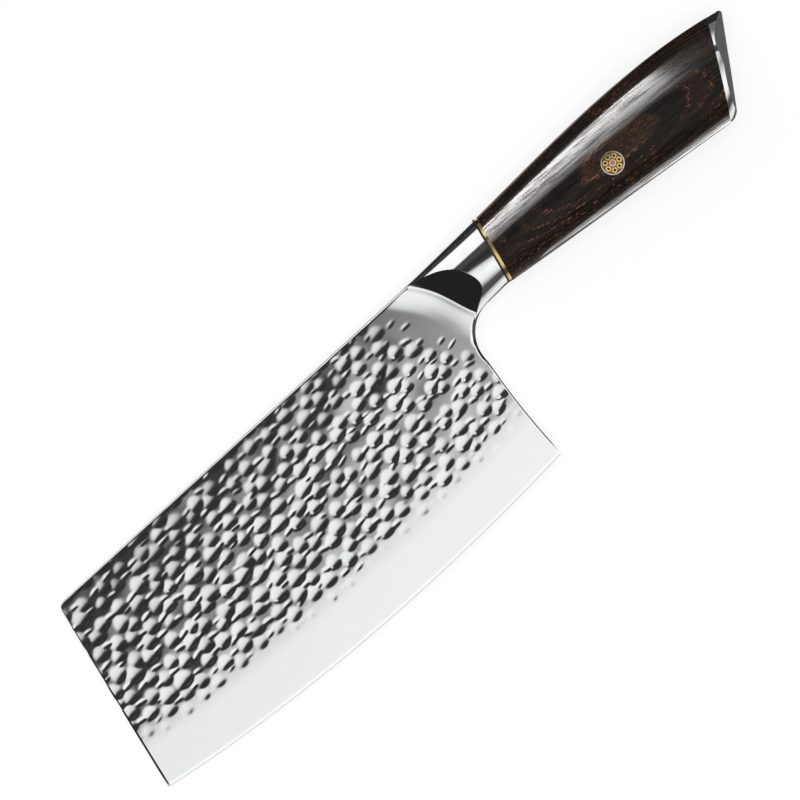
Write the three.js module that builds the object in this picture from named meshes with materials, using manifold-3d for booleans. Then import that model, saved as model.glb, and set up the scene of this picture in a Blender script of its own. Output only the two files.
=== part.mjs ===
// A cleaver-shaped slicing knife: a hammered blade with a hidden tang, a scooped bolster that carries the
// root of the blade, a fibre spacer and a brass spacer, a laminated-wood handle, a steel end cap and a mosaic
// pin through the handle and the tang.
// Millimetres. +X runs along the spine from the heel towards the butt, +Y from the cutting edge to the spine,
// and +Z across the blade, whose mid-plane is Z = 0. Places are measured from the heel corner of the cutting
// edge, and the finished knife is moved so that the middle of its bounding box is the origin.

import * as THREE from "three";
import { mergeVertices } from "three/addons/utils/BufferGeometryUtils.js";
import Module from "manifold-3d";

const wasm = await Module();
wasm.setup();

const degrees = THREE.MathUtils.degToRad;

// Blade
const BLADE_LENGTH = 171.9; // heel corner to toe corner, along the spine
const BLADE_HEIGHT = 76.1; // heel corner to spine
const BLADE_THICKNESS = 2.2;
const TOE_RISE = 6.4; // toe corner above the heel corner
const TOE_SLOPE = degrees(9.6); // slope of the cutting edge at the toe
const HEEL_SLOPE = degrees(4.1); // slope of the cutting edge at the heel
const FRONT_RAKE = degrees(11.1); // lean of the front edge
const FRONT_CORNER_RADIUS = 3;
const BEVEL_WIDTH = 19;
const BEHIND_EDGE_THICKNESS = 0.5;
const EDGE_BEVEL_WIDTH = 1.2;
const EDGE_THICKNESS = 0.1;
const CHOIL_RADIUS = 13.5; // hollow between the heel and the bolster
const CHOIL_SETBACK = 2.6; // heel corner to the front of that hollow
const HEEL_STRAIGHT = 26; // height up to which the back of the heel is nearly straight
const CHOIL_LEAD = 4; // how far below its middle the hollow starts to turn

// Hammer marks
const DIMPLE_PITCH = 6;
const DIMPLE_DEPTH = 0.3;
const DIMPLE_RIM = 0.03; // depth of the rims between dimples
const HAMMER_SETBACK = 17; // smooth steel between the heel and the hammer marks
const HAMMER_FADE = 9; // how far into that steel the last dimples reach

// Tang
const SHOULDER_DEPTH = 17.5; // heel corner to the shoulder where the plate steps down to the tang
const TANG_EYE_WALL = 2.6; // steel above and below the pin's hole
const TANG_END_INSET = 2; // end of the tang to the face of the end cap

// Bolster
const BOLSTER_DEPTH = 22.4; // spine to underside
const BOLSTER_FRONT_THICKNESS = 12;
const BOLSTER_FRONT_POWER = 2.1;
const SCOOP_START = 1.5; // where the scoop meets the spine, ahead of the heel
const SCOOP_RAKE = degrees(29.4); // lean of the line where the scoop meets the blade
const SCOOP_RADIUS = 34;
const SCOOP_ENTRY = degrees(20); // angle between the scoop and the blade where they meet

// Spacers
const FIBRE_THICKNESS = 1;
const BRASS_THICKNESS = 1;
const SPACER_SETBACK = 29; // heel corner to the middle of the brass spacer
const SPACER_RAKE = degrees(12);
const SPACER_RISE = 1.2; // top of the spacers above the spine

// Handle
const HANDLE_LENGTH = 95.9; // brass spacer to end cap, along the middle
const HANDLE_DROP = degrees(3.95); // fall of the handle's middle line
const FRONT_WIDTH = 18; // across the handle at the spacers
const BUTT_WIDTH = 22.4; // across the handle at the end cap
const SIDE_SWELL = 0.6; // extra half width between the two
const BACK_ARCH_FRONT = 2.2; // control heights of the back above its chord
const BACK_ARCH_REAR = 5.8;
const BELLY_ARCH = -0.4;
const SECTION_POWER = 2.4; // superellipse power of the cross-section, 2 is an ellipse

// End cap
const BUTT_HEIGHT = 36.1;
const BUTT_RAKE = degrees(29.2);
const CAP_DEPTH = 6.1; // along the middle
const CAP_SIDE_DEPTH = 2.1; // at the sides, where the domed end begins
const CAP_BACK_RADIUS = 1.8;
const CAP_BELLY_RADIUS = 5;
const TENON_LENGTH = 8;
const TENON_WALL = 1.6;

// Mosaic pin
const PIN_SETBACK = 48.7; // spacers to the pin, along the handle's middle line
const PIN_DROP = 2.3; // pin below that line
const TUBE_COUNT = 7;
const CORE_DIAMETER = 1;
const TUBE_WALL = 0.375;
const RESIN_WEB = 0.375; // resin between neighbours
const CENTRE_TUBE_WALL = 0.3;
const SLEEVE_WALL = 0.3;

// Clearances
const GLUE_GAP = 0.2; // between faces that are glued together
const SLOT_CLEARANCE = 0.2; // round the root and tang in their slots
const TENON_CLEARANCE = 0.3;
const PIN_CLEARANCE = 0.1; // round the pin in the handle and tang
const MOSAIC_CLEARANCE = 0.05; // between the pieces of the pin

// Mesh detail
const SECTION_POINTS = 32;
const HANDLE_STATIONS = 16;
const BOLSTER_STATIONS = 10;
const CAP_STATIONS = 9;
const EDGE_STATIONS = 20;
const CURVE_SEGMENTS = 16;
const SCOOP_SEGMENTS = 12;
const DOME_SEGMENTS = 72;
const PIN_SEGMENTS = 32;
const TUBE_SEGMENTS = 16;
const OVERCUT = 5; // how far a cutter reaches past what it cuts

// Materials
const material = (name, color, roughness, metalness) =>
  new THREE.MeshStandardMaterial({ name, color, roughness, metalness });
const metal = (name, color, roughness) => material(name, color, roughness, 1);
const plain = (name, color, roughness) => material(name, color, roughness, 0);

const bladeSteel = metal("blade_steel", 0xb9bbbd, 0.28);
const bolsterSteel = metal("bolster_steel", 0xd2d4d6, 0.1);
const brass = metal("brass", 0xd0a957, 0.22);
const copper = metal("copper", 0xa5633b, 0.3);
const nickelSilver = metal("nickel_silver", 0xd6d7d3, 0.2);
const blackFibre = plain("black_fibre", 0x121212, 0.6);
const laminatedWood = plain("laminated_wood", 0x241814, 0.3);
const bronzeResin = plain("bronze_resin", 0x6a4a20, 0.35);
const blackResin = plain("black_resin", 0x0e0d0c, 0.4);

// A local frame in the blade's plane: x along the handle, y up its height, at a place and with a lean.
class PlaneFrame {
  constructor(centre, rake) {
    this.centre = centre;
    this.along = new THREE.Vector2(Math.cos(rake), -Math.sin(rake));
    this.up = new THREE.Vector2(Math.sin(rake), Math.cos(rake));
    this.rake = rake;
  }

  point(x, y) {
    return this.centre.clone().addScaledVector(this.along, x).addScaledVector(this.up, y);
  }

  // A direction in the frame's own axes
  local(vector) {
    return new THREE.Vector2(vector.dot(this.along), vector.dot(this.up));
  }

  matrix() {
    const matrix = new THREE.Matrix4().makeRotationZ(-this.rake);
    return matrix.setPosition(this.centre.x, this.centre.y, 0);
  }
}

// Where a line meets the straight edge through a point with a given normal
function meet(start, direction, edgePoint, edgeNormal) {
  const distance = edgePoint.clone().sub(start).dot(edgeNormal) / direction.dot(edgeNormal);
  return start.clone().addScaledVector(direction, distance);
}

// Solids
function toSolid(geometry) {
  geometry.deleteAttribute("normal");
  geometry.deleteAttribute("uv");
  const merged = mergeVertices(geometry);
  const vertProperties = new Float32Array(merged.getAttribute("position").array);
  const triVerts = new Uint32Array(merged.getIndex().array);
  return new wasm.Manifold(new wasm.Mesh({ numProp: 3, vertProperties, triVerts }));
}

function toMesh(name, solid, finish) {
  const { vertProperties, triVerts } = solid.getMesh();
  const geometry = new THREE.BufferGeometry();
  geometry.setAttribute("position", new THREE.BufferAttribute(vertProperties, 3));
  geometry.setIndex(new THREE.BufferAttribute(triVerts, 1));
  geometry.computeVertexNormals();
  const mesh = new THREE.Mesh(geometry, finish);
  mesh.name = name;
  return mesh;
}

// A closed skin over rings of equally many points, in order along +X, each ring turning from +Z to +Y
function loft(rings) {
  const count = rings[0].length;
  const last = (rings.length - 1) * count;
  const middles = [rings[0], rings.at(-1)].map((ring) =>
    ring.reduce((sum, point) => sum.add(point), new THREE.Vector3()).divideScalar(count),
  );
  const index = [];
  for (let i = 0; i < count; i += 1) {
    const next = (i + 1) % count;
    for (let row = 0; row < last; row += count) {
      index.push(row + i, row + count + i, row + count + next);
      index.push(row + i, row + count + next, row + next);
    }
    index.push(last + count, i, next);
    index.push(last + count + 1, last + next, last + i);
  }
  const geometry = new THREE.BufferGeometry().setFromPoints([...rings.flat(), ...middles]);
  geometry.setIndex(index);
  return toSolid(geometry);
}

// An outline in the blade's plane, pulled out to a thickness about Z = 0
function plate(shape, thickness) {
  const options = { depth: thickness, bevelEnabled: false, curveSegments: CURVE_SEGMENTS };
  return toSolid(new THREE.ExtrudeGeometry(shape, options).translate(0, 0, -thickness / 2));
}

// A round bar across the whole handle
function crossBar(diameter, place, segments) {
  const length = BUTT_WIDTH + FRONT_WIDTH;
  const geometry = new THREE.CylinderGeometry(diameter / 2, diameter / 2, length, segments);
  return toSolid(geometry.rotateX(Math.PI / 2).translate(place.x, place.y, 0));
}

// A superellipse between a lower and an upper point of the profile
function section(low, high, width, power) {
  const bend = (value) => Math.sign(value) * Math.abs(value) ** (2 / power);
  const middle = low.clone().add(high).divideScalar(2);
  const half = high.clone().sub(middle);
  return Array.from({ length: SECTION_POINTS }, (_, i) => {
    const angle = (2 * Math.PI * i) / SECTION_POINTS;
    const rise = bend(Math.sin(angle));
    const side = (width / 2) * bend(Math.cos(angle));
    return new THREE.Vector3(middle.x + half.x * rise, middle.y + half.y * rise, side);
  });
}

const steps = (count) => Array.from({ length: count + 1 }, (_, i) => i / count);

// Layout: the spacers' frame, the end cap's frame, the pin and the tang's middle line
const undersideLevel = BLADE_HEIGHT - BOLSTER_DEPTH;
const spacerTop = BLADE_HEIGHT + SPACER_RISE;
const spacerHeight = (spacerTop - undersideLevel) / Math.cos(SPACER_RAKE);
const spacerCentre = new THREE.Vector2(SPACER_SETBACK, (spacerTop + undersideLevel) / 2);
const spacers = new PlaneFrame(spacerCentre, SPACER_RAKE);
const middleLine = new PlaneFrame(spacers.centre, HANDLE_DROP);
const butt = new PlaneFrame(middleLine.point(HANDLE_LENGTH, 0), BUTT_RAKE);
const pinCentre = middleLine.point(PIN_SETBACK, -PIN_DROP);
const tangDirection = pinCentre.clone().sub(spacers.centre).normalize();
const tangSide = new THREE.Vector2(-tangDirection.y, tangDirection.x);

const brassFront = -BRASS_THICKNESS / 2;
const brassRear = BRASS_THICKNESS / 2;
const fibreRear = brassFront - GLUE_GAP;
const fibreFront = fibreRear - FIBRE_THICKNESS;
const bolsterRear = fibreFront - GLUE_GAP;
const handleFront = brassRear + GLUE_GAP;
const handleRear = -GLUE_GAP / 2;
const capFront = GLUE_GAP / 2;

const tubeDiameter = CORE_DIAMETER + 2 * TUBE_WALL;
const tubeCircle = (tubeDiameter + RESIN_WEB) / (2 * Math.sin(Math.PI / TUBE_COUNT));
const sleeveBore = 2 * tubeCircle + tubeDiameter + 2 * RESIN_WEB;
const centreTubeDiameter = 2 * tubeCircle - tubeDiameter - 2 * RESIN_WEB;
const pinDiameter = sleeveBore + 2 * SLEEVE_WALL;
const pinHole = pinDiameter + 2 * PIN_CLEARANCE;
const tangHeight = pinHole + 2 * TANG_EYE_WALL;

// Blade
const heelCorner = new THREE.Vector2(0, 0);
const toeCorner = new THREE.Vector2(-BLADE_LENGTH, TOE_RISE);
const frontTop = new THREE.Vector2(
  toeCorner.x + (BLADE_HEIGHT - TOE_RISE) * Math.tan(FRONT_RAKE),
  BLADE_HEIGHT,
);
const choilCentre = new THREE.Vector2(CHOIL_SETBACK + CHOIL_RADIUS, undersideLevel - CHOIL_RADIUS);
const edgeHandle = BLADE_LENGTH / 3;
const edge = new THREE.CubicBezierCurve(
  heelCorner,
  new THREE.Vector2(heelCorner.x - edgeHandle, heelCorner.y - edgeHandle * Math.tan(HEEL_SLOPE)),
  new THREE.Vector2(toeCorner.x + edgeHandle, toeCorner.y - edgeHandle * Math.tan(TOE_SLOPE)),
  toeCorner,
);
const rootTop = (x) => BLADE_HEIGHT + (SPACER_RISE * x) / SPACER_SETBACK;

// The tang's long edge above (side 1) or below (side -1) its middle line, grown by a clearance
function tangEdge(side, clearance) {
  const start = spacers.centre.clone().addScaledVector(tangSide, side * (tangHeight / 2 + clearance));
  const endInset = butt.point(clearance - TANG_END_INSET, 0);
  return {
    shoulder: meet(start, tangDirection, new THREE.Vector2(SHOULDER_DEPTH, 0), new THREE.Vector2(1, 0)),
    end: meet(start, tangDirection, endInset, butt.along),
  };
}

function bladeOutline() {
  const backward = frontTop.clone().sub(toeCorner).normalize();
  const cornerStart = frontTop.clone().addScaledVector(backward, -FRONT_CORNER_RADIUS);
  const upper = tangEdge(1, 0);
  const lower = tangEdge(-1, 0);
  const shape = new THREE.Shape();
  shape.moveTo(heelCorner.x, heelCorner.y);
  shape.bezierCurveTo(edge.v1.x, edge.v1.y, edge.v2.x, edge.v2.y, toeCorner.x, toeCorner.y);
  shape.lineTo(cornerStart.x, cornerStart.y);
  shape.quadraticCurveTo(frontTop.x, frontTop.y, frontTop.x + FRONT_CORNER_RADIUS, BLADE_HEIGHT);
  shape.lineTo(heelCorner.x, BLADE_HEIGHT);
  shape.lineTo(SHOULDER_DEPTH, rootTop(SHOULDER_DEPTH));
  shape.lineTo(upper.shoulder.x, upper.shoulder.y);
  shape.lineTo(upper.end.x, upper.end.y);
  shape.lineTo(lower.end.x, lower.end.y);
  shape.lineTo(lower.shoulder.x, lower.shoulder.y);
  shape.lineTo(SHOULDER_DEPTH, undersideLevel);
  shape.lineTo(choilCentre.x, undersideLevel);
  shape.absarc(choilCentre.x, choilCentre.y, CHOIL_RADIUS, Math.PI / 2, Math.PI, false);
  shape.bezierCurveTo(
    CHOIL_SETBACK, choilCentre.y - CHOIL_LEAD,
    heelCorner.x, HEEL_STRAIGHT,
    heelCorner.x, heelCorner.y,
  );
  return shape;
}

// What the grinding takes off one face: the long bevel and the small bevel at the edge, carried along the edge
function bevelCutter(face) {
  const halfPlate = BLADE_THICKNESS / 2;
  const outer = halfPlate + OVERCUT;
  const ends = [edge.getTangent(0), edge.getTangent(1)];
  const path = edge.getPoints(EDGE_STATIONS);
  path.unshift(path[0].clone().addScaledVector(ends[0], -OVERCUT));
  path.push(path.at(-1).clone().addScaledVector(ends[1], OVERCUT));
  const profile = [
    [BEVEL_WIDTH, halfPlate],
    [EDGE_BEVEL_WIDTH, BEHIND_EDGE_THICKNESS / 2],
    [0, EDGE_THICKNESS / 2],
    [-OVERCUT, EDGE_THICKNESS / 2],
    [-OVERCUT, outer],
    [BEVEL_WIDTH, outer],
  ];
  const ordered = face > 0 ? profile : profile.toReversed();
  const rings = path.toReversed().map(({ x, y }) =>
    ordered.map(([rise, z]) => new THREE.Vector3(x, y + rise, face * z)),
  );
  return loft(rings);
}

// What the hammer takes off one face: a pyramid whose base is a triangular lattice over the blade. Every third
// point of the lattice is the bottom of a six-sided dimple, and the others are its rim. Towards the heel the
// base rises out of the steel, and the bevel is ground through the lowest dimples.
function hammerCutter(face) {
  const spacing = DIMPLE_PITCH / Math.sqrt(3);
  const rowStep = DIMPLE_PITCH / 2;
  const front = toeCorner.x - OVERCUT;
  const low = edge.getPoint(0.5).y + BEVEL_WIDTH / 2;
  const fadeSlope = (DIMPLE_DEPTH + DIMPLE_RIM) / HAMMER_FADE;
  const columns = Math.ceil((-HAMMER_SETBACK + HAMMER_FADE - front) / spacing);
  const rows = Math.ceil((BLADE_HEIGHT + OVERCUT - low) / rowStep);
  const rowLength = columns + 1;
  const points = [];
  for (let row = 0; row <= rows; row += 1) {
    for (let column = 0; column <= columns; column += 1) {
      const x = front + (column + (row % 2) / 2) * spacing;
      const isBottom = (column - Math.floor(row / 2) - row) % 3 === 0;
      const fade = fadeSlope * Math.max(0, x + HAMMER_SETBACK);
      const depth = (isBottom ? DIMPLE_DEPTH : DIMPLE_RIM) - fade;
      points.push(new THREE.Vector3(x, low + row * rowStep, face * (BLADE_THICKNESS / 2 - depth)));
    }
  }
  const apex = points.length;
  points.push(new THREE.Vector3(-BLADE_LENGTH / 2, BLADE_HEIGHT / 2, face * BLADE_LENGTH));

  const triangles = [];
  for (let row = 0; row < rows; row += 1) {
    for (let column = 0; column < columns; column += 1) {
      const a = row * rowLength + column;
      const d = a + rowLength;
      const evenRow = [[a, d, a + 1], [a + 1, d, d + 1]];
      const oddRow = [[a, d + 1, a + 1], [a, d, d + 1]];
      triangles.push(...(row % 2 === 0 ? evenRow : oddRow));
    }
    const left = row * rowLength;
    const right = left + columns;
    triangles.push([left, apex, left + rowLength], [right, right + rowLength, apex]);
  }
  for (let column = 0; column < columns; column += 1) {
    const top = rows * rowLength + column;
    triangles.push([column, column + 1, apex], [top, apex, top + 1]);
  }
  const geometry = new THREE.BufferGeometry().setFromPoints(points);
  geometry.setIndex(triangles.flatMap((triangle) => (face > 0 ? triangle : triangle.toReversed())));
  return toSolid(geometry);
}

function blade() {
  const faces = [1, -1];
  const cutters = faces.flatMap((face) => [bevelCutter(face), hammerCutter(face)]);
  const steelPlate = plate(bladeOutline(), BLADE_THICKNESS).subtract(crossBar(pinHole, pinCentre, PIN_SEGMENTS));
  return toMesh("blade", cutters.reduce((rest, cutter) => rest.subtract(cutter), steelPlate), bladeSteel);
}

// The slot that the tang passes through
function tangSlot() {
  const upper = tangEdge(1, SLOT_CLEARANCE);
  const lower = tangEdge(-1, SLOT_CLEARANCE);
  const shape = new THREE.Shape([upper.shoulder, upper.end, lower.end, lower.shoulder]);
  return plate(shape, BLADE_THICKNESS + 2 * SLOT_CLEARANCE);
}

// The slot that the root of the blade sits in, open at the spine, the front and the underside
function rootSlot() {
  const rear = SHOULDER_DEPTH + SLOT_CLEARANCE;
  const front = -SCOOP_START - 2 * OVERCUT;
  const low = choilCentre.y;
  const high = spacerTop + OVERCUT;
  const shape = new THREE.Shape([
    new THREE.Vector2(front, low),
    new THREE.Vector2(rear, low),
    new THREE.Vector2(rear, high),
    new THREE.Vector2(front, high),
  ]);
  return plate(shape, BLADE_THICKNESS + 2 * SLOT_CLEARANCE);
}

// Bolster
// The hollow ground into one cheek: a circular arc that leaves the blade at a line across it and climbs
// towards the spacers
function scoopCutter(face) {
  const base = BLADE_THICKNESS / 2;
  const steepest = Math.acos(Math.cos(SCOOP_ENTRY) - FRONT_WIDTH / 2 / SCOOP_RADIUS);
  const arc = steps(SCOOP_SEGMENTS).map((share) => {
    const angle = SCOOP_ENTRY + share * (steepest - SCOOP_ENTRY);
    const back = SCOOP_RADIUS * (Math.sin(angle) - Math.sin(SCOOP_ENTRY));
    const rise = SCOOP_RADIUS * (Math.cos(SCOOP_ENTRY) - Math.cos(angle));
    return new THREE.Vector2(back, face * (base + rise));
  });
  const front = -2 * SPACER_SETBACK;
  const outer = face * (base + FRONT_WIDTH);
  const profile = new THREE.Shape([
    new THREE.Vector2(front, face * base),
    ...arc,
    new THREE.Vector2(arc.at(-1).x, outer),
    new THREE.Vector2(front, outer),
  ]);
  const length = 2 * (BOLSTER_DEPTH + spacerHeight);
  const geometry = new THREE.ExtrudeGeometry(profile, { depth: length, bevelEnabled: false });
  geometry.translate(0, 0, -length / 2);
  const back = new THREE.Vector3(Math.cos(SCOOP_RAKE), Math.sin(SCOOP_RAKE), 0);
  const across = new THREE.Vector3(0, 0, 1);
  const line = new THREE.Vector3().crossVectors(back, across);
  const matrix = new THREE.Matrix4().makeBasis(back, across, line);
  return toSolid(geometry.applyMatrix4(matrix.setPosition(-SCOOP_START, BLADE_HEIGHT, 0)));
}

// The underside and back of the bolster, from the spacers to ahead of the scoop
function bolsterProfile() {
  const rearLow = spacers.point(bolsterRear, -spacerHeight / 2);
  const rearHigh = spacers.point(bolsterRear, spacerHeight / 2);
  const frontAngle = Math.PI / 2 + SCOOP_RAKE;
  const low = new THREE.Path();
  low.moveTo(rearLow.x, rearLow.y);
  low.lineTo(choilCentre.x, undersideLevel);
  low.absarc(choilCentre.x, choilCentre.y, CHOIL_RADIUS, Math.PI / 2, frontAngle, false);
  const high = new THREE.LineCurve(rearHigh, new THREE.Vector2(-SCOOP_START - OVERCUT, BLADE_HEIGHT));
  return { low, high };
}

function bolster() {
  const { low, high } = bolsterProfile();
  const rings = steps(BOLSTER_STATIONS).map((share) => {
    const width = THREE.MathUtils.lerp(FRONT_WIDTH, BOLSTER_FRONT_THICKNESS, share);
    const power = THREE.MathUtils.lerp(SECTION_POWER, BOLSTER_FRONT_POWER, share);
    return section(low.getPointAt(share), high.getPointAt(share), width, power);
  });
  const form = loft(rings.toReversed()).subtract(scoopCutter(1)).subtract(scoopCutter(-1));
  return toMesh("bolster", form.subtract(rootSlot()).subtract(tangSlot()), bolsterSteel);
}

// Spacers
function spacer(name, front, rear, finish) {
  const rings = [front, rear].map((x) => {
    const low = spacers.point(x, -spacerHeight / 2);
    const high = spacers.point(x, spacerHeight / 2);
    return section(low, high, FRONT_WIDTH, SECTION_POWER);
  });
  return toMesh(name, loft(rings).subtract(tangSlot()), finish);
}

// Handle
function raisedCurve(start, end, frontArch, rearArch) {
  const control = (share, arch) => start.clone().lerp(end, share).add(new THREE.Vector2(0, arch));
  return new THREE.CubicBezierCurve(start, control(1 / 3, frontArch), control(2 / 3, rearArch), end);
}

const handleBack = raisedCurve(
  spacers.point(handleFront, spacerHeight / 2),
  butt.point(handleRear, BUTT_HEIGHT / 2),
  BACK_ARCH_FRONT,
  BACK_ARCH_REAR,
);
const handleBelly = raisedCurve(
  spacers.point(handleFront, -spacerHeight / 2),
  butt.point(handleRear, -BUTT_HEIGHT / 2),
  BELLY_ARCH,
  0,
);

function handleForm() {
  const rings = steps(HANDLE_STATIONS).map((share) => {
    const swell = 2 * SIDE_SWELL * 4 * share * (1 - share);
    const width = THREE.MathUtils.lerp(FRONT_WIDTH, BUTT_WIDTH, share) + swell;
    return section(handleBelly.getPoint(share), handleBack.getPoint(share), width, SECTION_POWER);
  });
  return loft(rings);
}

// The tenon that holds the end cap in the handle, and with a clearance its pocket
function tenon(clearance) {
  const tangRake = Math.atan2(-tangDirection.y, tangDirection.x);
  const slotHeight = (tangHeight + 2 * SLOT_CLEARANCE) / Math.cos(BUTT_RAKE - tangRake);
  const middle = meet(spacers.centre, tangDirection, butt.centre, butt.along);
  const height = slotHeight + 2 * (TENON_WALL + clearance);
  const width = BLADE_THICKNESS + 2 * (SLOT_CLEARANCE + TENON_WALL + clearance);
  const rear = CAP_SIDE_DEPTH;
  const front = -TENON_LENGTH - clearance;
  const geometry = new THREE.BoxGeometry(rear - front, height, width);
  geometry.translate((rear + front) / 2, butt.local(middle.sub(butt.centre)).y, 0);
  return toSolid(geometry.applyMatrix4(butt.matrix()));
}

function handleBlock(form) {
  const bored = form.subtract(tangSlot()).subtract(crossBar(pinHole, pinCentre, PIN_SEGMENTS));
  return toMesh("handle_block", bored.subtract(tenon(TENON_CLEARANCE)), laminatedWood);
}

// End cap
// How far a rounded corner draws the profile in at a depth behind the handle
function cornerDraw(depth, radius) {
  const run = Math.max(0, depth - (CAP_DEPTH - radius));
  return radius - Math.sqrt(Math.max(0, radius ** 2 - run ** 2));
}

// The domed end: a round bar that lies across the butt and touches the cap's full depth
function capDome() {
  const rise = CAP_DEPTH - CAP_SIDE_DEPTH;
  const radius = ((BUTT_WIDTH / 2) ** 2 + rise ** 2) / (2 * rise);
  const turn = Math.PI / DOME_SEGMENTS;
  const geometry = new THREE.CylinderGeometry(radius, radius, 3 * BUTT_HEIGHT, DOME_SEGMENTS);
  geometry.rotateY(Math.PI / 2 + turn).translate(CAP_DEPTH - radius, 0, 0);
  return toSolid(geometry.applyMatrix4(butt.matrix()));
}

function endCap() {
  const backRun = butt.local(handleBack.getTangent(1));
  const bellyRun = butt.local(handleBelly.getTangent(1));
  const rings = steps(CAP_STATIONS).map((share) => {
    const depth = capFront + (CAP_DEPTH - capFront) * Math.sin((share * Math.PI) / 2);
    const high = BUTT_HEIGHT / 2 + (depth * backRun.y) / backRun.x - cornerDraw(depth, CAP_BACK_RADIUS);
    const low = -BUTT_HEIGHT / 2 + (depth * bellyRun.y) / bellyRun.x + cornerDraw(depth, CAP_BELLY_RADIUS);
    return section(butt.point(depth, low), butt.point(depth, high), BUTT_WIDTH, SECTION_POWER);
  });
  const domed = loft(rings).intersect(capDome());
  return toMesh("end_cap", domed.add(tenon(0)).subtract(tangSlot()), bolsterSteel);
}

// Mosaic pin: every piece is a bar or a tube along Z, cut flush with the sides of the handle
function mosaicPin(form) {
  const fit = 2 * MOSAIC_CLEARANCE;
  const flushBar = (diameter, place, segments) => crossBar(diameter, place, segments).intersect(form);
  const flushTube = (outer, bore, place, segments) =>
    flushBar(outer, place, segments).subtract(crossBar(bore, place, segments));
  const tubePlaces = Array.from({ length: TUBE_COUNT }, (_, i) => {
    const angle = Math.PI / 2 + (2 * Math.PI * i) / TUBE_COUNT;
    const spoke = new THREE.Vector2(Math.cos(angle), Math.sin(angle));
    return pinCentre.clone().addScaledVector(spoke, tubeCircle);
  });
  const rodDiameter = centreTubeDiameter - 2 * CENTRE_TUBE_WALL;

  let resin = flushTube(sleeveBore - fit, centreTubeDiameter + fit, pinCentre, PIN_SEGMENTS);
  for (const place of tubePlaces) {
    resin = resin.subtract(crossBar(tubeDiameter + fit, place, TUBE_SEGMENTS));
  }
  const sleeve = flushTube(pinDiameter, sleeveBore, pinCentre, PIN_SEGMENTS);
  const centreTube = flushTube(centreTubeDiameter, rodDiameter + fit, pinCentre, PIN_SEGMENTS);
  const pieces = [
    toMesh("pin_sleeve", sleeve, nickelSilver),
    toMesh("pin_resin", resin, bronzeResin),
    toMesh("pin_centre_tube", centreTube, nickelSilver),
    toMesh("pin_centre_rod", flushBar(rodDiameter, pinCentre, PIN_SEGMENTS), copper),
  ];
  tubePlaces.forEach((place, i) => {
    const tube = flushTube(tubeDiameter, CORE_DIAMETER + fit, place, TUBE_SEGMENTS);
    const core = flushBar(CORE_DIAMETER, place, TUBE_SEGMENTS);
    pieces.push(toMesh(`pin_tube_${i + 1}`, tube, brass));
    pieces.push(toMesh(`pin_core_${i + 1}`, core, blackResin));
  });
  return pieces;
}

// Assembly
const form = handleForm();
const knife = new THREE.Group();
knife.add(
  blade(),
  bolster(),
  spacer("fibre_spacer", fibreFront, fibreRear, blackFibre),
  spacer("brass_spacer", brassFront, brassRear, brass),
  handleBlock(form),
  endCap(),
  ...mosaicPin(form),
);
const middle = new THREE.Box3().setFromObject(knife, true).getCenter(new THREE.Vector3());
knife.position.set(-middle.x, -middle.y, 0);

export default knife;
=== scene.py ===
"""Dresses a cleaver-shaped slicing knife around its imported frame.

Shapes are worked out in millimetres from the heel corner of the cutting edge: x runs towards the butt,
y towards the spine and z across the blade. They go into the meshes in metres, in the frame's own axes.
"""

import logging
import math
from dataclasses import dataclass, field
from enum import Enum

import bmesh
import bpy
import numpy as np
from bpy.types import Material, Node, NodeSocket as Socket, NodeTree, Object
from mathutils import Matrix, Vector


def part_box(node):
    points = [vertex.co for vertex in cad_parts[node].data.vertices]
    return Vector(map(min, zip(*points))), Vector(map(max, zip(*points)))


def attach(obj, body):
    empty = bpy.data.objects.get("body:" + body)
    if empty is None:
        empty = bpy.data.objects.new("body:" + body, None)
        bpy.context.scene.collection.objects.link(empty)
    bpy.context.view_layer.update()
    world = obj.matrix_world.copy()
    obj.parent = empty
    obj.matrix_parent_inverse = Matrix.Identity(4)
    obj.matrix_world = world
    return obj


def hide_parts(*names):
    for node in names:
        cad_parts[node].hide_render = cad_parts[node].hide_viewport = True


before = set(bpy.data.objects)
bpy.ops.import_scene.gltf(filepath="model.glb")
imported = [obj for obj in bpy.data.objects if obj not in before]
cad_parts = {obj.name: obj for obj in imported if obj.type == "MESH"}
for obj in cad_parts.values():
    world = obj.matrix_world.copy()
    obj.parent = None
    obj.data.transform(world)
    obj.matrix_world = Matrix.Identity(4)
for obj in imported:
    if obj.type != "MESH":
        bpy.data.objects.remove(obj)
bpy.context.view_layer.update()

MILLIMETRE = 0.001
TINY = 1e-12
CREASE = math.radians(32.0)
NOISE_RANGE = (0.3, 0.7)
CLOUD_RANGE = (0.35, 0.65)
CLOUDS_PER_METRE = 220.0
CLOUD_RELIEF = 0.3
LINE_STRETCH = (0.03, 1.0, 1.0)
FLECK_TIPS = (0.52, 0.68)
FLECK_CLOUDS = 0.1
Array = np.ndarray
Pair = tuple[float, float]
Triple = tuple[float, float, float]
Skin = tuple[Array, list[list[int]]]
Colour = tuple[float, float, float, float]
log = logging.getLogger("knife")


class Slot(Enum):
    """The record's material slots."""

    BLADE_STEEL = "blade_steel"
    BOLSTER_STEEL = "bolster_steel"
    BRASS = "brass"
    COPPER = "copper"
    NICKEL_SILVER = "nickel_silver"
    BLACK_FIBRE = "black_fibre"
    LAMINATED_WOOD = "laminated_wood"
    BRONZE_RESIN = "bronze_resin"
    BLACK_RESIN = "black_resin"


class Face(Enum):
    """The two faces of the blade, by the sign of z."""

    LEFT = 1
    RIGHT = -1


def smooth_step(low: float, high: float, value: Array) -> Array:
    """Rises from 0 to 1 between two values, as 3s^2 - 2s^3.

    Args:
        low: Value at which the step starts.
        high: Value at which it ends, which may be the smaller one.
        value: Values to step.

    Returns:
        The stepped values.
    """
    share = np.clip((value - low) / (high - low), 0.0, 1.0)
    return share * share * (3.0 - 2.0 * share)


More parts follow.
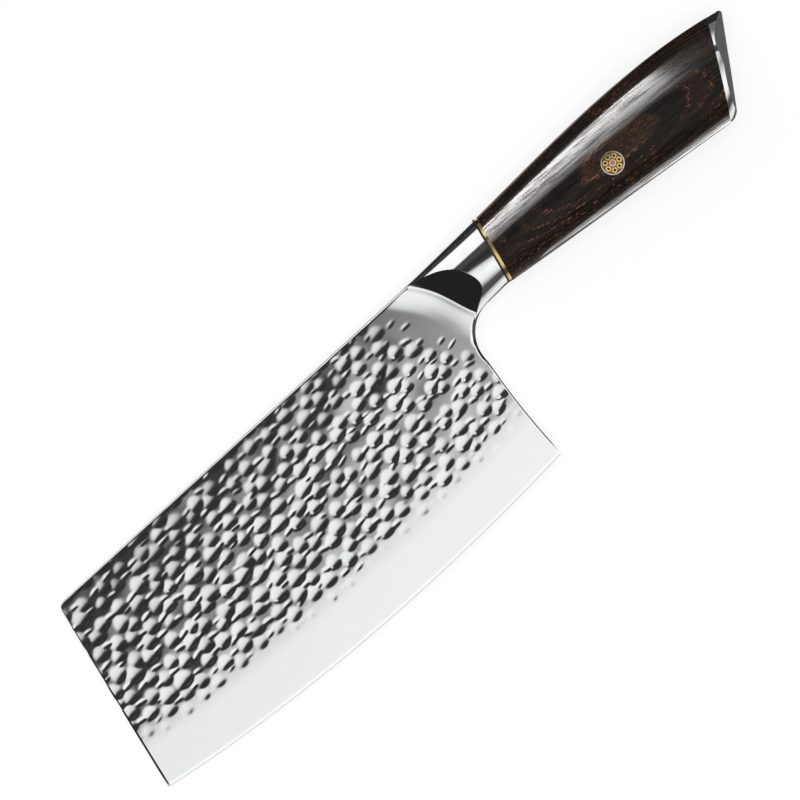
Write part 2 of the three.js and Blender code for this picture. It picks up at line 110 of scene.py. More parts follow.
def bezier(points: list[Array], share: Array) -> Array:
    """A cubic curve through its first and last point.

    Args:
        points: The four control points.
        share: Shares along the curve, in any shape.

    Returns:
        Points of the curve, with the coordinates last.
    """
    t = np.asarray(share, float)[..., None]
    start, first, second, end = (np.asarray(point, float) for point in points)
    rest = 1.0 - t
    return rest**3 * start + 3 * rest**2 * t * first + 3 * rest * t**2 * second + t**3 * end


def along_path(path: Array, share: Array) -> Array:
    """Points at shares of a broken line's length.

    Args:
        path: The line's corners.
        share: Shares of its length, in any shape.

    Returns:
        Points, with the coordinates last.
    """
    steps = np.linalg.norm(np.diff(path, axis=0), axis=1)
    places = np.concatenate([[0.0], np.cumsum(steps)]) / steps.sum()
    return np.stack([np.interp(share, places, path[:, axis]) for axis in range(2)], axis=-1)


def superellipse(low: Array, high: Array, width: Array, power: Array, angles: Array) -> Array:
    """Points of a section that stands between a lower and an upper profile point.

    Height goes with the sine and side with the cosine of the angle, each raised to 2 / power with its
    sign kept.

    Args:
        low: Lower profile points, with the two coordinates last.
        high: Upper profile points.
        width: Full widths across the section.
        power: Superellipse powers, where 2 is an ellipse.
        angles: Angles round the section, from -90 degrees at the lower point.

    Returns:
        Points with three coordinates last.
    """
    rise = np.sign(np.sin(angles)) * np.abs(np.sin(angles)) ** (2.0 / power)
    side = np.sign(np.cos(angles)) * np.abs(np.cos(angles)) ** (2.0 / power)
    plane = (low + high) / 2 + (high - low) / 2 * rise[..., None]
    return np.concatenate([plane, (width / 2 * side)[..., None]], axis=-1)


def turn_angles(count: int) -> Array:
    """Equal steps round a section, from its lowest point."""
    return -math.pi / 2 + 2 * math.pi * np.arange(count) / count


def zip_ring(ring: Array) -> list[list[int]]:
    """Closes a ring by strips between the points that face each other.

    Args:
        ring: Vertex numbers in order round the ring, an even count.

    Returns:
        The faces of the closing strip.
    """
    half = len(ring) // 2
    facing = np.roll(ring[::-1], 1)
    strips = np.stack([ring[1 : half - 1], ring[2:half], facing[2:half], facing[1 : half - 1]], axis=-1)
    ends = [[ring[0], ring[1], facing[1]], [ring[half - 1], ring[half], facing[half - 1]]]
    return strips.tolist() + [[int(number) for number in end] for end in ends]


def ring_skin(rings: Array, closed: bool = False) -> Skin:
    """A skin over rings of points.

    Args:
        rings: Points as rings, points round each ring, and coordinates.
        closed: True where the last ring joins the first, as in a tube's wall; else the ends are zipped.

    Returns:
        The points as one list, and the faces.
    """
    count, around = rings.shape[:2]
    index = np.arange(count * around).reshape(count, around)
    near = index if closed else index[:-1]
    far = np.roll(index, -1, axis=0) if closed else index[1:]
    quads = np.stack([near, np.roll(near, -1, axis=1), np.roll(far, -1, axis=1), far], axis=-1)
    faces = quads.reshape(-1, 4).tolist()
    if not closed:
        faces += zip_ring(index[0]) + zip_ring(index[-1])
    return rings.reshape(-1, 3), faces


@dataclass(frozen=True)
class PlaneFrame:
    """A local frame in the blade's plane: x along the handle, y up its height, with a lean.

    Attributes:
        centre: Its origin in millimetres.
        rake: Its lean in radians.
    """

    centre: Pair
    rake: float

    def point(self, x: Array | float, y: Array | float) -> Array:
        """The place of local coordinates: the centre, plus x along, plus y up.

        Args:
            x: Distances along the frame.
            y: Distances up the frame.

        Returns:
            Points, with the two coordinates last.
        """
        along = np.array([math.cos(self.rake), -math.sin(self.rake)])
        up = np.array([math.sin(self.rake), math.cos(self.rake)])
        x, y = np.broadcast_arrays(np.asarray(x, float), np.asarray(y, float))
        return np.asarray(self.centre) + x[..., None] * along + y[..., None] * up


@dataclass(frozen=True)
class Layout:
    """The sizes that several pieces share, in millimetres and radians, as the frame has them."""

    blade_length: float = 171.9
    blade_height: float = 76.1
    plate: float = 2.2
    bolster_depth: float = 22.4
    choil_radius: float = 13.5
    choil_setback: float = 2.6
    scoop_start: float = 1.5
    scoop_rake: float = math.radians(29.4)
    scoop_sway: float = 1.05
    scoop_sway_length: float = 18.0
    ricasso_swell: float = 0.7
    ricasso_width: float = 8.0
    ricasso_ease: float = 1.6
    ricasso_slope: float = 0.03
    ricasso_power: float = 1.6
    spacer_setback: float = 29.0
    spacer_rake: float = math.radians(12.0)
    spacer_rise: float = 1.2
    bolster_rear: float = -1.25
    fibre_rear: float = -0.5
    brass_rear: float = 0.5
    handle_length: float = 95.9
    handle_drop: float = math.radians(3.95)
    front_width: float = 18.0
    butt_width: float = 22.4
    butt_height: float = 36.1
    butt_rake: float = math.radians(29.2)
    section_power: float = 2.4
    pin_setback: float = 48.7
    pin_drop: float = 2.3

    @property
    def underside(self) -> float:
        """Level of the bolster's underside."""
        return self.blade_height - self.bolster_depth

    @property
    def spacer_height(self) -> float:
        """Height of the spacers along their lean."""
        return (self.bolster_depth + self.spacer_rise) / math.cos(self.spacer_rake)

    @property
    def spacers(self) -> PlaneFrame:
        """Frame at the middle of the brass spacer."""
        middle = (self.blade_height + self.spacer_rise + self.underside) / 2
        return PlaneFrame((self.spacer_setback, middle), self.spacer_rake)

    @property
    def middle_line(self) -> PlaneFrame:
        """Frame along the middle of the handle."""
        return PlaneFrame(self.spacers.centre, self.handle_drop)

    @property
    def butt(self) -> PlaneFrame:
        """Frame at the seam between the handle and the end cap."""
        return PlaneFrame(tuple(self.middle_line.point(self.handle_length, 0.0)), self.butt_rake)

    @property
    def pin_centre(self) -> Array:
        """Middle of the mosaic pin."""
        return self.middle_line.point(self.pin_setback, -self.pin_drop)

    @property
    def choil_centre(self) -> Array:
        """Middle of the round hollow between the heel and the bolster."""
        return np.array([self.choil_setback + self.choil_radius, self.underside - self.choil_radius])

    def down_scoop(self, x: Array, y: Array) -> Array:
        """How far points lie down the leaning line where the scoop leaves the blade.

        Args:
            x: Distances from the heel corner.
            y: Heights above it.

        Returns:
            Distances along that line from the spine.
        """
        across = (x + self.scoop_start) * math.sin(self.scoop_rake)
        return across + (self.blade_height - y) * math.cos(self.scoop_rake)

    def behind_scoop(self, x: Array, y: Array) -> Array:
        """How far points lie behind the line where the scoop leaves the blade.

        The line leans, and sways about its lean by a sine wave.

        Args:
            x: Distances from the heel corner.
            y: Heights above it.

        Returns:
            Distances square to the lean, negative towards the front of the blade.
        """
        along = (x + self.scoop_start) * math.cos(self.scoop_rake)
        along = along + (y - self.blade_height) * math.sin(self.scoop_rake)
        return along - self.scoop_sway * np.sin(math.pi * self.down_scoop(x, y) / self.scoop_sway_length)

    def swell(self, behind: Array) -> Array:
        """How far each face of the blade thickens towards the scoop.

        It grows as a power of the way, and a parabola eases it off to a small slope just ahead of the
        scoop.

        Args:
            behind: Distances behind the line where the scoop leaves the blade.

        Returns:
            Thicknesses added.
        """
        ahead = np.minimum(behind, 0.0)
        power = self.ricasso_power
        rise = self.ricasso_swell * np.clip(1.0 + ahead / self.ricasso_width, 0.0, None) ** power
        steep = power * self.ricasso_swell / self.ricasso_width - self.ricasso_slope
        eased = steep / (2 * self.ricasso_ease) * np.clip(ahead + self.ricasso_ease, 0.0, None) ** 2
        return rise - eased + self.ricasso_slope * np.maximum(behind, 0.0)

    def to_frame(self, points: Array) -> Array:
        """Moves points from the heel corner into the frame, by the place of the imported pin.

        Args:
            points: Points in millimetres.

        Returns:
            Points in metres.
        """
        low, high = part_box("pin_sleeve")
        packed_pin = np.array((low + high) / 2)[:2] / MILLIMETRE
        shift = np.append(packed_pin - self.pin_centre, 0.0)
        return (points + shift) * MILLIMETRE


LAYOUT = Layout()


def add_mesh(name: str, points: Array, faces: list[list[int]]) -> Object:
    """Puts a closed surface into the scene, with its faces pointing outwards.

    Args:
        name: Name of the object.
        points: Points in metres.
        faces: Vertex numbers of each face.

    Returns:
        The new object, at the origin.
    """
    mesh = bpy.data.meshes.new(name)
    mesh.from_pydata(points.tolist(), [], faces)
    shell = bmesh.new()
    shell.from_mesh(mesh)
    bmesh.ops.recalc_face_normals(shell, faces=shell.faces)
    shell.to_mesh(mesh)
    shell.free()
    mesh.shade_smooth()
    piece = bpy.data.objects.new(name, mesh)
    bpy.context.scene.collection.objects.link(piece)
    return piece


def add_piece(name: str, skin: Skin, material: Material, slot: Slot, crease: float = CREASE) -> Object:
    """Makes a visible piece that stands for the CAD node of the same name.

    Args:
        name: CAD node that the piece replaces; the piece is called name_look.
        skin: Points in millimetres from the heel corner, and faces.
        material: Finish of the piece.
        slot: The record's slot for that finish.
        crease: Edges bent by more than this stay crisp.

    Returns:
        The piece, riding on the frame.
    """
    points, faces = skin
    piece = add_mesh(f"{name}_look", LAYOUT.to_frame(points), faces)
    piece.data.set_sharp_from_angle(angle=crease)
    piece.data.materials.append(material)
    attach(piece, "root")
    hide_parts(name)
    log.info("%s: %d points, %d faces, %s", piece.name, len(points), len(faces), slot.value)
    return piece


class Wiring:
    """Adds shader nodes to a tree and wires them by socket."""

    def __init__(self, tree: NodeTree) -> None:
        """Keeps the tree that the nodes go into."""
        self.tree = tree

    def add(self, kind: str, inputs: dict | None = None, **settings: object) -> Node:
        """Adds a node.

        Args:
            kind: Blender's name of the node type.
            inputs: Values or output sockets, by the name or number of the input.
            settings: Properties of the node.

        Returns:
            The node.
        """
        node = self.tree.nodes.new(kind)
        for key, value in settings.items():
            setattr(node, key, value)
        for key, value in (inputs or {}).items():
            if isinstance(value, Socket):
                self.tree.links.new(value, node.inputs[key])
            else:
                node.inputs[key].default_value = value
        return node

    def math(self, operation: str, *values: object) -> Socket:
        """The result of a Math node.

        Args:
            operation: Blender's name of the operation.
            values: Numbers or sockets, in order.

        Returns:
            The output socket.
        """
        return self.add("ShaderNodeMath", dict(enumerate(values)), operation=operation).outputs[0]

    def remap(
        self, value: object, low: float, high: float, to_low: float = 0.0, to_high: float = 1.0
    ) -> Socket:
        """A value moved from one range to another by a smooth step.

        Args:
            value: Socket to remap.
            low: Start of its range.
            high: End of its range.
            to_low: What the start becomes.
            to_high: What the end becomes.

        Returns:
            The output socket.
        """
        inputs = {"Value": value, "From Min": low, "From Max": high, "To Min": to_low, "To Max": to_high}
        return self.add("ShaderNodeMapRange", inputs, interpolation_type="SMOOTHSTEP").outputs[0]

    def between(self, angle: object, degrees: tuple[float, float, float, float]) -> Socket:
        """How far an angle lies in a range with soft ends.

        Args:
            angle: Socket in radians.
            degrees: Where the range sets in, where it is full, where it starts to end, and where it ends.

        Returns:
            The output socket, from 0 to 1.
        """
        start, full, ending, end = (math.radians(value) for value in degrees)
        return self.math("MULTIPLY", self.remap(angle, start, full), self.remap(angle, end, ending))

    def blend(self, share: object, first: object, second: object) -> Socket:
        """A mix of two colours.

        Args:
            share: How much of the second colour shows.
            first: Colour or socket.
            second: Colour or socket.

        Returns:
            The output socket.
        """
        inputs = {"Factor": share, 6: first, 7: second}
        return self.add("ShaderNodeMix", inputs, data_type="RGBA").outputs[2]

    def noise(self, vector: object, scale: float, detail: float = 2.0, roughness: float = 0.5) -> Socket:
        """Values of a cloudy noise.

        Args:
            vector: Coordinates.
            scale: How many clouds per unit.
            detail: How many finer layers it has.
            roughness: How strong these are.

        Returns:
            The output socket, about 0.5 on average.
        """
        inputs = {"Vector": vector, "Scale": scale, "Detail": detail, "Roughness": roughness}
        return self.add("ShaderNodeTexNoise", inputs).outputs[0]

    def stretched(self, vector: object, scale: Triple, turn: float = 0.0) -> Socket:
        """Coordinates turned about z and stretched.

        Args:
            vector: Coordinates.
            scale: Scale along each axis.
            turn: Turn in radians.

        Returns:
            The output socket.
        """
        inputs = {"Vector": vector, "Rotation": (0.0, 0.0, turn), "Scale": scale}
        return self.add("ShaderNodeMapping", inputs).outputs[0]


def rgb(red: float, green: float, blue: float) -> Colour:
    """A linear colour with full alpha."""
    return (red, green, blue, 1.0)


def grey(level: float) -> Colour:
    """A linear grey with full alpha."""
    return rgb(level, level, level)


def new_group(
    name: str, inputs: dict[str, str], outputs: dict[str, str]
) -> tuple[NodeTree, Wiring, dict[str, Socket]]:
    """Starts a shader node group.

    Args:
        name: Name of the group.
        inputs: Socket types by input name.
        outputs: Socket types by output name.

    Returns:
        The group, its wiring, and its input sockets by name.
    """
    group = bpy.data.node_groups.new(name, "ShaderNodeTree")
    for way, sockets in (("INPUT", inputs), ("OUTPUT", outputs)):
        for socket, kind in sockets.items():
            group.interface.new_socket(socket, in_out=way, socket_type=kind)
    wiring = Wiring(group)
    entry = wiring.add("NodeGroupInput")
    return group, wiring, {socket: entry.outputs[socket] for socket in inputs}


def polish_group() -> NodeTree:
    """Fine polishing lines and faint clouds, which every metal of the knife has.

    The lines are noise stretched along the local x axis of the vector; clouds are noise some millimetres
    wide.

    Returns:
        The group: Vector in metres and Lines per metre in, Lines and Clouds and Height out.
    """
    inputs = {"Vector": "NodeSocketVector", "Lines": "NodeSocketFloat"}
    outputs = {"Lines": "NodeSocketFloat", "Clouds": "NodeSocketFloat", "Height": "NodeSocketFloat"}
    group, wiring, entry = new_group("polish", inputs, outputs)
    scaled = wiring.add("ShaderNodeVectorMath", {0: entry["Vector"]}, operation="SCALE")
    wiring.tree.links.new(entry["Lines"], scaled.inputs["Scale"])
    lines = wiring.noise(wiring.stretched(scaled.outputs[0], LINE_STRETCH), 1.0, 3.0, 0.6)
    clouds = wiring.noise(entry["Vector"], CLOUDS_PER_METRE)
    height = wiring.math("ADD", lines, wiring.math("MULTIPLY", clouds, CLOUD_RELIEF))
    wiring.add("NodeGroupOutput", {"Lines": lines, "Clouds": clouds, "Height": height})
    return group


def flecks_group() -> NodeTree:
    """Small flecks and soft clouds, as in fibre board and filled resin.

    Flecks are the bright tips of a fine noise, and clouds are a noise ten times as coarse.

    Returns:
        The group: Vector in metres and Size per metre in, Flecks and Clouds out.
    """
    inputs = {"Vector": "NodeSocketVector", "Size": "NodeSocketFloat"}
    outputs = {"Flecks": "NodeSocketFloat", "Clouds": "NodeSocketFloat"}
    group, wiring, entry = new_group("flecks", inputs, outputs)
    fine = wiring.noise(entry["Vector"], 1.0, 3.0, 0.6)
    wiring.tree.links.new(entry["Size"], fine.node.inputs["Scale"])
    coarse = wiring.noise(entry["Vector"], 1.0, 1.0)
    wiring.tree.links.new(wiring.math("MULTIPLY", entry["Size"], FLECK_CLOUDS), coarse.node.inputs["Scale"])
    wiring.add("NodeGroupOutput", {"Flecks": wiring.remap(fine, *FLECK_TIPS), "Clouds": coarse})
    return group


@dataclass(frozen=True)
class MetalFinish:
    """A polished metal.

    Attributes:
        name: Name of the material.
        colour: Its linear colour.
        shade: Its darker tone, in the clouds.
        roughness: Least and greatest roughness, in the polishing lines.
        lines: Polishing lines per metre.
        lines_turn: Direction of the lines in the blade's plane, in radians.
        relief: Depth of the lines in metres.
    """

    name: str
    colour: Colour
    shade: Colour
    roughness: Pair
    lines: float = 6000.0
    lines_turn: float = 0.0
    relief: float = 0.0000004

    def build(self, polish: NodeTree) -> Material:
        """Makes the material: clouds tint the colour, and lines set roughness and relief.

        Args:
            polish: The shared group of polishing lines.

        Returns:
            The material.
        """
        material = bpy.data.materials.new(self.name)
        material.use_nodes = True
        wiring = Wiring(material.node_tree)
        shader = material.node_tree.nodes["Principled BSDF"]
        shader.inputs["Metallic"].default_value = 1.0
        coordinates = wiring.add("ShaderNodeTexCoord").outputs["Object"]
        turned = wiring.stretched(coordinates, (1.0, 1.0, 1.0), self.lines_turn)
        marks = wiring.add("ShaderNodeGroup", node_tree=polish)
        wiring.tree.links.new(turned, marks.inputs["Vector"])
        marks.inputs["Lines"].default_value = self.lines
        tint = wiring.blend(wiring.remap(marks.outputs["Clouds"], *CLOUD_RANGE), self.colour, self.shade)
        rough = wiring.remap(marks.outputs["Lines"], *NOISE_RANGE, *self.roughness)
        bump = wiring.add("ShaderNodeBump", {"Height": marks.outputs["Height"], "Distance": self.relief})
        wiring.tree.links.new(self.tinted(wiring, tint), shader.inputs["Base Color"])
        wiring.tree.links.new(self.roughened(wiring, rough), shader.inputs["Roughness"])
        wiring.tree.links.new(bump.outputs[0], shader.inputs["Normal"])
        return material

    def tinted(self, wiring: Wiring, tint: Socket) -> Socket:
        """The colour as it is; a finish with more on it adds to this."""
        return tint

    def roughened(self, wiring: Wiring, rough: Socket) -> Socket:
        """The roughness as it is; a finish with more on it adds to this."""
        return rough


@dataclass(frozen=True)
class BladeFinish(MetalFinish):
    """Blade steel, hammered and polished above and ground satin on the bevel, with painted shade in the
    hammer marks.

    Attributes:
        satin: Roughness that the grinding adds on the bevel.
        hollow: Painted shade, a darker tone at the bottom of the hammer marks.
        hollow_painted_shade_share: How much of that painted shade the deepest marks take.
    """

    satin: float = 0.1
    hollow: Colour = rgb(0.7, 0.71, 0.72)
    hollow_painted_shade_share: float = 0.5

    def tinted(self, wiring: Wiring, tint: Socket) -> Socket:
        """Paints shade into the bottoms of the hammer marks, by the blade's own depth attribute.

        Args:
            wiring: Wiring of the material.
            tint: Colour so far.

        Returns:
            The darkened colour.
        """
        # Painted shade: the deeper a hammer mark, the darker its bottom is tinted.
        depth = wiring.add("ShaderNodeAttribute", attribute_name="hammer_depth").outputs["Fac"]
        return wiring.blend(wiring.math("MULTIPLY", depth, self.hollow_painted_shade_share), tint, self.hollow)

    def roughened(self, wiring: Wiring, rough: Socket) -> Socket:
        """Adds the satin of the bevel, by the blade's own attribute.

        Args:
            wiring: Wiring of the material.
            rough: Roughness so far.

        Returns:
            The roughness with the satin.
        """
        ground = wiring.add("ShaderNodeAttribute", attribute_name="ground").outputs["Fac"]
        return wiring.math("ADD", rough, wiring.math("MULTIPLY", ground, self.satin))


@dataclass(frozen=True)
class FilledFinish:
    """A dull filled material, such as fibre board or resin.

    Attributes:
        name: Name of the material.
        colour: Its linear colour.
        fleck: Colour of its flecks.
        flecks: Flecks per metre.
        roughness: Least and greatest roughness.
        metallic: How metallic the filler is.
    """

    name: str
    colour: Colour
    fleck: Colour
    flecks: float
    roughness: Pair
    metallic: float = 0.0

    def build(self, flecks: NodeTree) -> Material:
        """Makes the material: flecks lie on the colour, and clouds change the roughness.

        Args:
            flecks: The shared group of flecks.

        Returns:
            The material.
        """
        material = bpy.data.materials.new(self.name)
        material.use_nodes = True
        wiring = Wiring(material.node_tree)
        shader = material.node_tree.nodes["Principled BSDF"]
        shader.inputs["Metallic"].default_value = self.metallic
        grain = wiring.add("ShaderNodeGroup", node_tree=flecks)
        wiring.tree.links.new(wiring.add("ShaderNodeTexCoord").outputs["Object"], grain.inputs["Vector"])
        grain.inputs["Size"].default_value = self.flecks
        colour = wiring.blend(grain.outputs["Flecks"], self.colour, self.fleck)
        rough = wiring.remap(grain.outputs["Clouds"], *NOISE_RANGE, *self.roughness)
        wiring.tree.links.new(colour, shader.inputs["Base Color"])
        wiring.tree.links.new(rough, shader.inputs["Roughness"])
        return material


@dataclass(frozen=True)
class WoodFinish:
    """Dark laminated wood: dyed and plain veneers in turn, cut open by the handle's crowned sides.

    Attributes:
        name: Name of the material.
        veneers: Thickness of a dyed and a plain veneer together, in millimetres.
        waviness: How far the veneers wander from flat, in millimetres.
        slope: How far they climb along the handle.
        bow: How much more they climb with the square of the way from their crest.
        crest: Height of the crest above the blade's plane, in millimetres.
        crest_setback: How far behind the pin it lies, in millimetres.
        black: Colour of the dyed veneers.
        brown: Colour of the plain ones.
        fibre: Colour of the fine fibres in both.
        vessel: Colour of the open vessels, which show as short dashes.
        ember: Brighter colour of some vessels.
        wander_scale: Fineness of the veneers' waves per millimetre, along, up and across the handle; the
            other scales give that of the streaks, fibres, gloss, vessels and gatherings of vessels.
        vessel_turn: Turn of the vessels from the length of the handle, in radians.
        tone_share: Least and greatest strength of a plain veneer.
        plain_fold: Where in its layer a plain veneer ends; the border starts and ends at border_folds.
        vessel_tips: Part of the noise that shows as vessels, and ember_tips that shows as brighter ones.
        chain_share: How strongly vessels show in chains, and plain_share in plain veneers.
        roughness: Least and greatest roughness of the wood.
        relief: Depth of the pores in metres.
        coat: Least and greatest weight of the polish.
    """

    name: str = "laminated_wood"
    veneers: float = 1.15
    waviness: float = 0.3
    slope: float = 0.0206
    bow: float = 0.00062
    crest: float = 10.8
    crest_setback: float = 4.4
    black: Colour = rgb(0.0062, 0.0054, 0.0050)
    brown: Colour = rgb(0.026, 0.0155, 0.0105)
    fibre: Colour = rgb(0.034, 0.023, 0.017)
    vessel: Colour = rgb(0.12, 0.052, 0.028)
    ember: Colour = rgb(0.36, 0.125, 0.05)
    wander_scale: Triple = (0.022, 0.06, 0.05)
    streak_scale: Triple = (0.12, 2.6, 2.6)
    fibre_scale: Triple = (0.07, 5.0, 5.0)
    gloss_scale: Triple = (0.06, 1.2, 1.2)
    vessel_scale: Triple = (0.62, 3.6, 3.6)
    gather_scale: Triple = (0.05, 0.16, 0.16)
    vessel_turn: float = 0.1
    tone_share: Pair = (0.3, 1.0)
    plain_fold: Pair = (0.28, 0.19)
    border_folds: tuple[Pair, Pair] = ((0.13, 0.22), (0.33, 0.25))
    vessel_tips: Pair = (0.53, 0.63)
    ember_tips: Pair = (0.57, 0.68)
    chain_share: float = 0.8
    plain_share: float = 0.55
    roughness: Pair = (0.34, 0.5)
    relief: float = 0.000012
    coat: Pair = (0.3, 1.0)
    coat_roughness: float = 0.12
    coat_ior: float = 1.2

    def build(self) -> Material:
        """Makes the material.

        The veneers are bent as a parabola along the handle, so its crown cuts them in loops round the crest.
        The wavy depth over their thickness gives a number, which sets how strongly a pair of veneers shows,
        and a share, which tells the dyed veneer from the plain one. Vessels are noise stretched along the
        handle; they gather in chains where two veneers meet.

        Returns:
            The material.
        """
        material = bpy.data.materials.new(self.name)
        material.use_nodes = True
        wiring = Wiring(material.node_tree)
        shader = material.node_tree.nodes["Principled BSDF"]
        coordinates = wiring.add("ShaderNodeTexCoord").outputs["Object"]
        place = wiring.stretched(coordinates, (1.0 / MILLIMETRE,) * 3, LAYOUT.handle_drop)

        wander = wiring.noise(wiring.stretched(place, self.wander_scale), 1.0, 2.0, 0.45)
        axes = wiring.add("ShaderNodeSeparateXYZ", {0: place}).outputs
        pin = LAYOUT.to_frame(np.append(LAYOUT.pin_centre, 0.0)) / MILLIMETRE
        pin_along = pin[0] * math.cos(LAYOUT.handle_drop) - pin[1] * math.sin(LAYOUT.handle_drop)
        along = wiring.math("SUBTRACT", axes["X"], float(pin_along + self.crest_setback))
        steepness = wiring.math("ADD", wiring.math("MULTIPLY", along, self.bow), self.slope)
        climb = wiring.math("ADD", wiring.math("MULTIPLY", along, steepness), self.crest)
        depth = wiring.math("SUBTRACT", axes["Z"], climb)
        shift = wiring.math("MULTIPLY", wiring.math("SUBTRACT", wander, 0.5), 2 * self.waviness)
        wavy = wiring.math("ADD", depth, shift)
        layer = wiring.math("ADD", wiring.math("DIVIDE", wavy, self.veneers), 0.5)
        number = wiring.math("FLOOR", layer)
        tone = wiring.add("ShaderNodeTexWhiteNoise", {"W": number}, noise_dimensions="1D").outputs["Value"]
        fold = wiring.math("ABSOLUTE", wiring.math("SUBTRACT", wiring.math("FRACT", layer), 0.5))
        strength = wiring.remap(tone, 0.1, 0.8, *self.tone_share)
        plain = wiring.math("MULTIPLY", wiring.remap(fold, *self.plain_fold), strength)
        border = wiring.math("MULTIPLY", *(wiring.remap(fold, *limits) for limits in self.border_folds))

        streak = wiring.noise(wiring.stretched(place, self.streak_scale), 1.0, 3.0, 0.62)
        browned = wiring.math("MULTIPLY", plain, wiring.remap(streak, 0.30, 0.62))
        fine = wiring.noise(wiring.stretched(place, self.fibre_scale), 1.0, 2.0, 0.6)
        gloss = wiring.noise(wiring.stretched(place, self.gloss_scale), 1.0, 3.0, 0.65)
        dashes = wiring.noise(wiring.stretched(place, self.vessel_scale, self.vessel_turn), 1.0, 2.0, 0.6)
        open_vessels = wiring.remap(dashes, *self.vessel_tips)
        patches = wiring.noise(wiring.stretched(place, self.gather_scale), 1.0, 1.0)
        chains = wiring.math("MULTIPLY", border, wiring.remap(patches, 0.42, 0.58))
        in_chains = wiring.math("MULTIPLY", chains, self.chain_share)
        share = wiring.math("ADD", in_chains, wiring.math("MULTIPLY", plain, self.plain_share))
        vessels = wiring.math("MINIMUM", wiring.math("MULTIPLY", open_vessels, share), 1.0)
        chained = wiring.math("MULTIPLY", vessels, chains)
        glow = wiring.math("MULTIPLY", chained, wiring.remap(dashes, *self.ember_tips))

        ground = wiring.blend(browned, self.black, self.brown)
        ground = wiring.blend(wiring.remap(fine, 0.5, 0.7, 0.0, 0.8), ground, self.fibre)
        veined = wiring.blend(vessels, ground, self.vessel)
        colour = wiring.blend(glow, veined, self.ember)
        rough = wiring.remap(streak, *NOISE_RANGE, *self.roughness)
        pores = wiring.math("SUBTRACT", wiring.math("MULTIPLY", streak, 0.6), vessels)
        bump = wiring.add("ShaderNodeBump", {"Height": pores, "Distance": self.relief}).outputs[0]
        coat = wiring.remap(gloss, 0.33, 0.58, *self.coat)
        wiring.tree.links.new(colour, shader.inputs["Base Color"])
        wiring.tree.links.new(rough, shader.inputs["Roughness"])
        wiring.tree.links.new(bump, shader.inputs["Normal"])
        wiring.tree.links.new(coat, shader.inputs["Coat Weight"])
        shader.inputs["Specular IOR Level"].default_value = 0.0
        shader.inputs["Coat Roughness"].default_value = self.coat_roughness
        shader.inputs["Coat IOR"].default_value = self.coat_ior
        return material


@dataclass
class Finishes:
    """All the materials of the knife, each built once."""

    polish: NodeTree = field(default_factory=polish_group)
    flecks: NodeTree = field(default_factory=flecks_group)

    def metal(self, name: str, colour: Colour, shade: Colour, roughness: Pair, **more: float) -> Material:
        """A polished metal with the shared polishing lines.

        Args:
            name: Name of the material.
            colour: Its linear colour.
            shade: Its darker tone.
            roughness: Least and greatest roughness.
            more: Further fields of MetalFinish.

        Returns:
            The material.
        """
        return MetalFinish(name, colour, shade, roughness, **more).build(self.polish)

    def build(self) -> dict[Slot, Material]:
        """Makes the materials.

        Returns:
            The materials by slot.
        """
        blade = BladeFinish("blade_steel", rgb(0.86, 0.865, 0.87), rgb(0.853, 0.858, 0.863), (0.03, 0.05))
        fibre = FilledFinish("black_fibre", rgb(0.006, 0.006, 0.0065), grey(0.02), 5000.0, (0.4, 0.6))
        bronze = FilledFinish(
            "bronze_resin", rgb(0.10, 0.05, 0.012), rgb(0.46, 0.27, 0.06), 4200.0, (0.25, 0.4), metallic=0.6
        )
        black = FilledFinish("black_resin", grey(0.004), rgb(0.012, 0.011, 0.01), 3000.0, (0.3, 0.45))
        return {
            Slot.BLADE_STEEL: blade.build(self.polish),
            Slot.BOLSTER_STEEL: self.metal(
                "bolster_steel", rgb(0.83, 0.835, 0.84), rgb(0.78, 0.785, 0.79), (0.05, 0.075),
                lines_turn=-LAYOUT.spacer_rake,
            ),
            Slot.BRASS: self.metal("brass", rgb(0.80, 0.61, 0.26), rgb(0.68, 0.47, 0.17), (0.12, 0.18)),
            Slot.COPPER: self.metal("copper", rgb(0.55, 0.25, 0.12), rgb(0.45, 0.18, 0.08), (0.22, 0.3)),
            Slot.NICKEL_SILVER: self.metal(
                "nickel_silver", rgb(0.66, 0.64, 0.59), rgb(0.52, 0.5, 0.45), (0.12, 0.18)
            ),
            Slot.BLACK_FIBRE: fibre.build(self.flecks),
            Slot.LAMINATED_WOOD: WoodFinish().build(),
            Slot.BRONZE_RESIN: bronze.build(self.flecks),
            Slot.BLACK_RESIN: black.build(self.flecks),
        }


